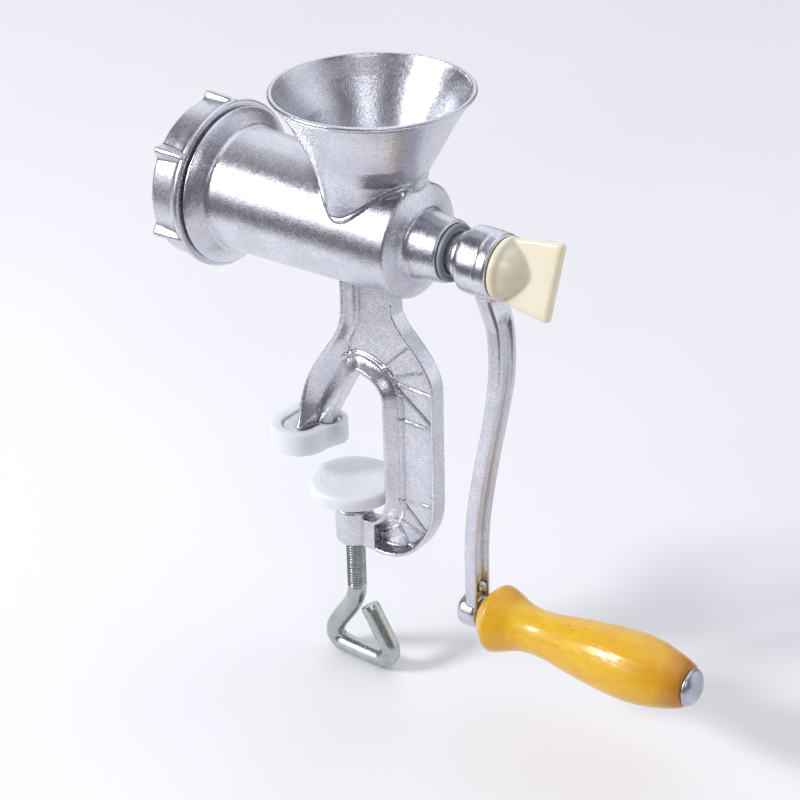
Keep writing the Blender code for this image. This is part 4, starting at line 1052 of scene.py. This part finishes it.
def build_crank():
    hub = turned(capped([
        (69.8, 11.0), (70.2, 11.6), (70.9, 12.0), (73.2, 12.2), (73.6, 12.6), (73.9, 13.5),
        (74.6, 14.8), (75.8, 15.7), (77.4, 16.0), (85.4, 16.0), (85.8, 16.15), (86.6, 16.1),
        (87.2, 15.9), (91.2, 15.7), (91.9, 15.2), (92.1, 14.6)]), 128)
    eye = turned(capped([
        (-4.6, 6.4), (-4.2, 7.4), (-3.2, 8.3), (-1.6, 8.6), (2.8, 8.6), (4.6, 8.5), (5.8, 8.1),
        (6.4, 7.2), (6.5, 6.2)]), 72, ON_AXLE, spin=0.05)
    screw_hole = turned(capped([(80, 4.4), (90.7, 4.4), (90.7, 9.6), (95, 9.6)]), 56)
    shaft_recess = rod(68.2, 70.6, 10.4, 64)
    axle_hole = rod(-15, 15, 4.1, 48, ON_AXLE)
    combine(hub, add=[crank_bar(), eye, crank_pip()],
            cut=[square_bar(60, 88.8, 7.0), screw_hole, shaft_recess, axle_hole])
    return cast(hub, voxel=0.4, rounds=3, ripple=0.015, ripple_size=6.0)


place(build_crank(), "crank_casting", "rotor", "crank_arm", CAST_ARM)

# ------------------------------------------------------------------ thumb screw
PADDLE_ANGLE = -20
# Stations along the paddle: x, half height, half thickness
PADDLE = [(93.6, 13.2, 3.2), (96.0, 14.4, 3.1), (98.0, 15.1, 3.05), (104.0, 16.2, 2.9),
          (110.0, 17.0, 2.8), (116.0, 17.7, 2.7), (119.2, 18.1, 2.6), (120.4, 18.0, 2.3),
          (121.0, 17.5, 1.7)]


def knob_paddle():
    """Flat thumb grip with rounded corners."""
    sections = []
    for x, high, thick in PADDLE:
        corner = min(1.7, thick - 0.4)
        section = []
        for side_y, side_z in ((-1, -1), (1, -1), (1, 1), (-1, 1)):
            arc = [(x, side_y * (thick - corner + corner * math.cos(turn)),
                    side_z * (high - corner + corner * math.sin(turn)))
                   for turn in (math.pi / 2 * k / 4 for k in range(5))]
            section += arc if side_y * side_z > 0 else arc[::-1]
        sections.append(section)
    return loft(sections, pose=ON_BARREL @ Matrix.Rotation(math.radians(PADDLE_ANGLE), 4, "X"))


def build_knob():
    """Domed head with the paddle, hollowed for the stud."""
    head = turned([
        (92.7, 0.0), (92.7, 14.2), (92.9, 14.7), (93.5, 15.1), (94.6, 15.2), (95.6, 15.0),
        (96.3, 14.4), (96.8, 13.6), (97.6, 12.9), (98.8, 12.2), (100.4, 11.1), (102.4, 9.4),
        (104.4, 7.4), (106.2, 5.4), (107.8, 3.8), (109.2, 2.4), (110.0, 1.0), (110.3, 0.0)], 128)
    stud_hole = turned(capped([(90, 4.2), (95.1, 4.2), (95.1, 6.5), (98.1, 6.5), (98.1, 3.5),
                               (104.3, 3.5)]), 48)
    combine(head, add=[knob_paddle()], cut=[stud_hole])
    return cast(head, voxel=0.36, rounds=22)


def build_thumb_stud():
    return turned(capped([(71.4, 3.2), (72.2, 3.9), (95.4, 3.9), (95.4, 6.2), (97.8, 6.2),
                          (97.8, 3.2), (104.0, 3.2)]), 48)


place(build_knob(), "thumb_screw_head", "thumb_screw", "thumb_knob", CREAM)
place(build_thumb_stud(), "thumb_screw_stud", "thumb_screw", "thumb_stud", BRIGHT,
      sharp=35)
place(washer(91.0, 92.3, inner=4.3, outer=9.2, steps=72, edge=0.3),
      "thumb_screw_washer", "screw_washer", "thumb_washer", BRIGHT, sharp=40)

# ------------------------------------------------------------------ handle
GRIP_NEAR, GRIP_FAR, GRIP_BORE_R = 8.8, 123.9, 4.1      # along the axle, away from the eye
# Grip: distance along the axle, radius
GRIP = [(14.4, 15.7), (15.4, 16.5), (16.8, 16.9), (19.4, 16.3), (22.6, 15.2), (28.0, 12.9),
        (34.0, 11.5), (41.0, 11.1), (49.0, 11.8), (60.0, 13.6), (72.0, 15.3), (84.0, 16.5),
        (95.0, 16.8), (105.0, 15.8), (113.0, 14.0), (118.0, 12.5), (121.6, 11.1), (123.3, 9.9),
        (GRIP_FAR, 8.8)]


def build_grip():
    obj = turned([(GRIP_NEAR, GRIP_BORE_R), (GRIP_NEAR, 9.5), (9.0, 10.1), (9.6, 11.0),
                  (12.0, 13.5)] + fine_curve(GRIP, 7) + [(GRIP_FAR, GRIP_BORE_R)], 128, ON_AXLE)
    to_axle = ON_AXLE.inverted()
    for vertex in obj.data.vertices:    # hand-finished: very slightly out of round
        x, y, z = to_axle @ vertex.co
        if math.hypot(y, z) > 5:
            k = 1 + 0.010 * noise.noise(Vector((x / 16, y / 12, z / 12)))
            vertex.co = ON_AXLE @ Vector((x, y * k, z * k))
    return obj


def build_axle():
    """Axle with a domed rivet head at each end."""
    return turned([
        (-6.6, 0.0), (-6.55, 2.4), (-6.3, 4.2), (-5.8, 5.2), (-5.2, 5.6), (-4.9, 5.5), (-4.9, 3.7),
        (124.3, 3.7), (124.2, 8.4), (124.3, 8.9), (124.8, 9.2), (125.5, 9.0), (126.4, 8.3),
        (127.3, 7.1), (128.1, 5.5), (128.7, 3.8), (129.1, 1.9), (129.3, 0.0)], 96, ON_AXLE)


place(build_grip(), "wooden_grip", "grip", "handle_grip", WOOD, sharp=50)
place(build_axle(), "rivet_axle", "rotor", "handle_axle", STEEL, sharp=50)
place(washer(6.9, 8.5, inner=4.0, outer=6.4, steps=64, edge=0.3, pose=ON_AXLE),
      "rivet_washer", "rotor", "grip_washer", STEEL, sharp=40)

# ------------------------------------------------------------------ clamp
def pad_outline():
    """The jaw pad's (x, y) outline."""
    return arc_points(centre=(-27.0, -7.0), radius=15.0, count=29) + smooth_line([
        (-11.9, -5.0), (-10.6, -1.0), (-9.0, 3.0), (-8.8, 6.6), (-10.6, 10.6), (-15.0, 13.2),
        (-21.0, 13.9), (-32.0, 13.9), (-38.2, 11.8), (-41.4, 7.0), (-42.0, 1.0)], 1.5)


def offset(outline, amount):
    """The outline moved outwards."""
    count = len(outline)
    out = []
    for i in range(count):
        before, point, after = (Vector(outline[(i + k) % count]) for k in (-1, 0, 1))
        into, onward = (point - before).normalized(), (after - point).normalized()
        inward = (Vector((-into.y, into.x)) + Vector((-onward.y, onward.x))).normalized()
        out.append(tuple(point - inward * amount))
    return out


def build_jaw_pad():
    """Soft cap under and round the jaw foot."""
    pad = slab(pad_outline(), 0.0, 12.2)
    combine(pad, cut=[slab(offset(foot_outline(), 0.35), 4.0, 18)])
    return cast(pad, voxel=0.42, rounds=6)


def build_disc():
    """Soft disc over the swivel plate, with moulded rings on its top face."""
    radius, parts, ring_pitch = 20.6, 90, 3.3
    top = []
    for k in range(parts + 1):
        out = radius * k / parts
        z = -13.9 - 0.75 * (out / radius) ** 2.4
        bump = max(0.0, math.cos(out * math.tau / ring_pitch)) ** 5
        top.append((z + (0.20 * bump if 4.0 < out < 17.6 else 0.0), out))
    edge = [(-14.85, 21.1), (-15.15, 21.6), (-15.6, 21.9), (-16.2, 22.0), (-20.6, 21.85),
            (-21.4, 21.6), (-21.85, 21.2), (-22.0, 20.6), (-22.0, 17.5), (-18.1, 17.5),
            (-18.1, 7.2), (-16.3, 7.2), (-16.3, 0.0)]
    return turned(top + edge, 128, UPRIGHT)


def build_swivel():
    profile = [(-18.4, 3.8), (-18.4, 17.2), (-21.5, 17.2), (-21.9, 16.6), (-21.9, 8.2),
               (-24.9, 7.0), (-24.9, 3.8)]
    return turned(rounded(profile, 0.3), 96, UPRIGHT)


SCREW_STEPS = 48
THREAD_PITCH, THREAD_CREST_R, THREAD_DEPTH = 1.5, 4.95, 1.10
THREAD_TOP, THREAD_END = -26.2, -78.6
LOOP_ROD_R = 4.92
# Peened head and neck: z, radius
SCREW_HEAD = [(-16.75, 1.2), (-16.9, 3.4), (-17.3, 5.0), (-17.7, 5.8), (-18.1, 6.0), (-18.1, 3.5),
              (-25.2, 3.5), (-25.2, 4.2), (-25.8, 4.7)]
# Centre line of the bent loop: x, z
SCREW_LOOP = [(0, -78.8), (-0.5, -83.6), (-2.9, -90.0), (-6.8, -96.4), (-11.0, -102.4),
              (-14.5, -108.2), (-15.7, -112.6), (-14.7, -116.2), (-11.6, -118.3), (-7.0, -118.8),
              (0.5, -118.8), (8.0, -118.8), (13.8, -118.6), (18.0, -116.9), (20.5, -113.6),
              (20.6, -109.8), (18.7, -106.0), (13.3, -97.2), (7.8, -88.3)]


def thread_radius(angle, z):
    """Radius of the thread, which runs out at both ends."""
    depth = max(0.0, min(1.0, (THREAD_TOP - z) / 1.2, (z - THREAD_END) / 2.2))
    turn = ((z / THREAD_PITCH) - angle / math.tau) % 1.0
    crest = 1 - abs(2 * turn - 1)               # 0 at the root, 1 at the crest
    crest = min(1.0, max(0.0, (crest - 0.12) / 0.70))
    return THREAD_CREST_R - THREAD_DEPTH * depth * (1 - crest)


def build_screw():
    """The clamp screw in one skin: peened head, neck, M10 thread, then the bent loop with its
    sawn end."""
    x_axis, y_axis = Vector((1, 0, 0)), Vector((0, 1, 0))
    angles = [math.tau * k / SCREW_STEPS for k in range(SCREW_STEPS)]

    def section(centre, side, radii):
        return [centre + side * (radius * math.cos(angle)) + y_axis * (radius * math.sin(angle))
                for angle, radius in zip(angles, radii)]

    sections = [section(Vector((0, 0, z)), x_axis, [radius] * SCREW_STEPS)
                for z, radius in SCREW_HEAD]
    z = THREAD_TOP
    while z > THREAD_END:
        radii = [thread_radius(angle, z) for angle in angles]
        sections.append(section(Vector((0, 0, z)), x_axis, radii))
        z -= THREAD_PITCH / 9
    path = [Vector((x, 0, z)) for x, z in fine_curve(SCREW_LOOP, 6)]
    dense = [path[0]]
    for start, end in zip(path, path[1:]):
        parts = max(1, int((end - start).length / 1.6))
        dense += [start.lerp(end, k / parts) for k in range(1, parts + 1)]
    last = len(dense) - 1
    for i, point in enumerate(dense):
        tangent = (dense[min(last, i + 1)] - dense[max(0, i - 1)]).normalized()
        radius = LOOP_ROD_R - (0.35 if i == last else 0.0)
        sections.append(section(point, tangent.cross(y_axis).normalized(),
                                [radius] * SCREW_STEPS))
    return loft(sections)


place(build_jaw_pad(), "jaw_cap", "frame", "jaw_pad", WHITE)
place(build_disc(), "clamp_disc", "clamp_foot", "clamp_pad", WHITE, sharp=40)
place(build_swivel(), "swivel_plate", "clamp_foot", "swivel_disc", ZINC, sharp=40)
place(build_screw(), "clamp_screw_rod", "clamp_bar", "clamp_screw", ZINC, sharp=45)

for thing in list(SCRATCH.objects):
    bpy.data.objects.remove(thing, do_unlink=True)
bpy.data.collections.remove(SCRATCH)


# ------------------------------------------------------------------ floor (metres)
FLOOR_CENTRE, FLOOR_SIZE, FLOOR_CELLS = (-0.20, 0.89), (2.8, 2.5), 24
FLOOR_GAP = 0.0006      # below the lowest point of the mill


def build_floor():
    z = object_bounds()[0].z - FLOOR_GAP
    bm = bmesh.new()
    sheet = [[bm.verts.new((FLOOR_CENTRE[0] + FLOOR_SIZE[0] * (i / FLOOR_CELLS - 0.5),
                            FLOOR_CENTRE[1] + FLOOR_SIZE[1] * (j / FLOOR_CELLS - 0.5), z))
              for i in range(FLOOR_CELLS + 1)] for j in range(FLOOR_CELLS + 1)]
    for row, beyond in zip(sheet, sheet[1:]):
        for i in range(FLOOR_CELLS):
            bm.faces.new((row[i], row[i + 1], beyond[i + 1], beyond[i]))
    mesh = bpy.data.meshes.new("floor")
    bm.to_mesh(mesh)
    bm.free()
    floor = bpy.data.objects.new("floor", mesh)
    bpy.context.scene.collection.objects.link(floor)
    material, nodes = new_material("pale_floor")
    cloud = nodes.noise(nodes.coords(), scale=3.0, detail=3.0)
    tone = nodes.ramp(cloud, [(0.3, (0.87, 0.87, 0.89)), (0.7, (0.90, 0.90, 0.915))])
    nodes.surface(Base_Color=tone, Roughness=0.6, Specular_IOR_Level=0.2)
    floor.data.materials.append(material)


build_floor()

# ------------------------------------------------------------------ world and light
# Soft patches of light: direction, angle inside which it is full, angle where it ends, gain
LOBES = [((-0.545, -0.747, 0.380), 7, 27, 1.75),    # window at -X -Y, the main light
         ((-0.545, 0.70, 0.47), 14, 36, 0.95),      # -X +Y, behind
         ((0.72, 0.66, 0.20), 14, 40, 0.95),        # +X +Y, behind
         ((0.62, -0.55, 0.56), 4, 15, 2.6),         # small light beside the camera
         ((0.05, 0.15, 1.0), 10, 46, 1.15),         # ceiling
         ((0.0, 0.0, -1.0), 40, 62, 0.8)]           # from below
AMBIENT = 0.20


def build_world():
    """Studio of soft lobes for the light; the camera itself sees a plain grey."""
    world = bpy.data.worlds.new("studio")
    bpy.context.scene.world = world
    world.use_nodes = True
    world.node_tree.nodes.clear()
    nodes = Nodes(world.node_tree)
    output = nodes.add("OutputWorld")
    around = nodes.add("TexCoord").outputs["Generated"]
    total = None
    for direction, inner, outer, gain in LOBES:
        dot = nodes.add("VectorMath", operation="DOT_PRODUCT")
        nodes.feed(dot.inputs[0], around)
        nodes.feed(dot.inputs[1], Vector(direction).normalized())
        patch = nodes.mapped(dot.outputs["Value"], to=(0.0, gain), interpolation="SMOOTHSTEP",
                             span=[math.cos(math.radians(angle)) for angle in (outer, inner)])
        total = patch if total is None else nodes.math("ADD", total, patch)
    total = nodes.math("ADD", total, AMBIENT)
    studio = nodes.add("Background", Color=(0.93, 0.94, 1.0, 1.0), Strength=total)
    plain = nodes.add("Background", Color=(0.83, 0.84, 0.86, 1.0), Strength=1.0)
    rays = nodes.add("LightPath")
    mixer = nodes.add("MixShader", Fac=rays.outputs["Is Camera Ray"])
    nodes.feed(mixer.inputs[1], studio.outputs[0])
    nodes.feed(mixer.inputs[2], plain.outputs[0])
    nodes.feed(output.inputs["Surface"], mixer.outputs[0])


def build_key_light():
    """Area light at the -X -Y side, aimed at the mill (metres, watts)."""
    target = Vector((0.08, 0.0, 0.06))
    where = target + Vector((-0.545, -0.68, 0.49)) * 2.0
    data = bpy.data.lights.new("key", "AREA")
    data.shape = "RECTANGLE"
    data.size, data.size_y = 0.50, 0.24
    data.energy = 24
    light = bpy.data.objects.new("key", data)
    light.location = where
    light.rotation_mode = "QUATERNION"
    light.rotation_quaternion = (target - where).to_track_quat("-Z", "Y")
    bpy.context.scene.collection.objects.link(light)


build_world()
build_key_light()

# ------------------------------------------------------------------ camera
AZIMUTH, ELEVATION, ROLL = (math.radians(angle) for angle in (38.70, 29.26, -1.44))
# millimetres: x from the barrel's crank end, y from the datum, z from the barrel's axis
CAMERA_X, CAMERA_Y, CAMERA_Z = 574.7, -734.2, 439.5


def build_camera():
    back = Vector((math.sin(AZIMUTH) * math.cos(ELEVATION),
                   -math.cos(AZIMUTH) * math.cos(ELEVATION), math.sin(ELEVATION)))
    right = Vector((math.cos(AZIMUTH), math.sin(AZIMUTH), 0))
    up = back.cross(right)
    rolled_right = math.cos(ROLL) * right + math.sin(ROLL) * up
    rolled_up = -math.sin(ROLL) * right + math.cos(ROLL) * up
    data = bpy.data.cameras.new("camera")
    data.lens = 101.26
    data.sensor_width = 36.0
    data.clip_start, data.clip_end = 0.05, 20.0
    camera = bpy.data.objects.new("camera", data)
    pose = Matrix((rolled_right, rolled_up, back)).transposed().to_4x4()
    pose.translation = Vector((CAMERA_X + CRANK_END_X + DATUM_X, CAMERA_Y, CAMERA_Z + AXIS_Z)) * MM
    camera.matrix_world = pose
    bpy.context.scene.collection.objects.link(camera)
    bpy.context.scene.camera = camera


build_camera()
bpy.context.scene.view_settings.view_transform = "Standard"
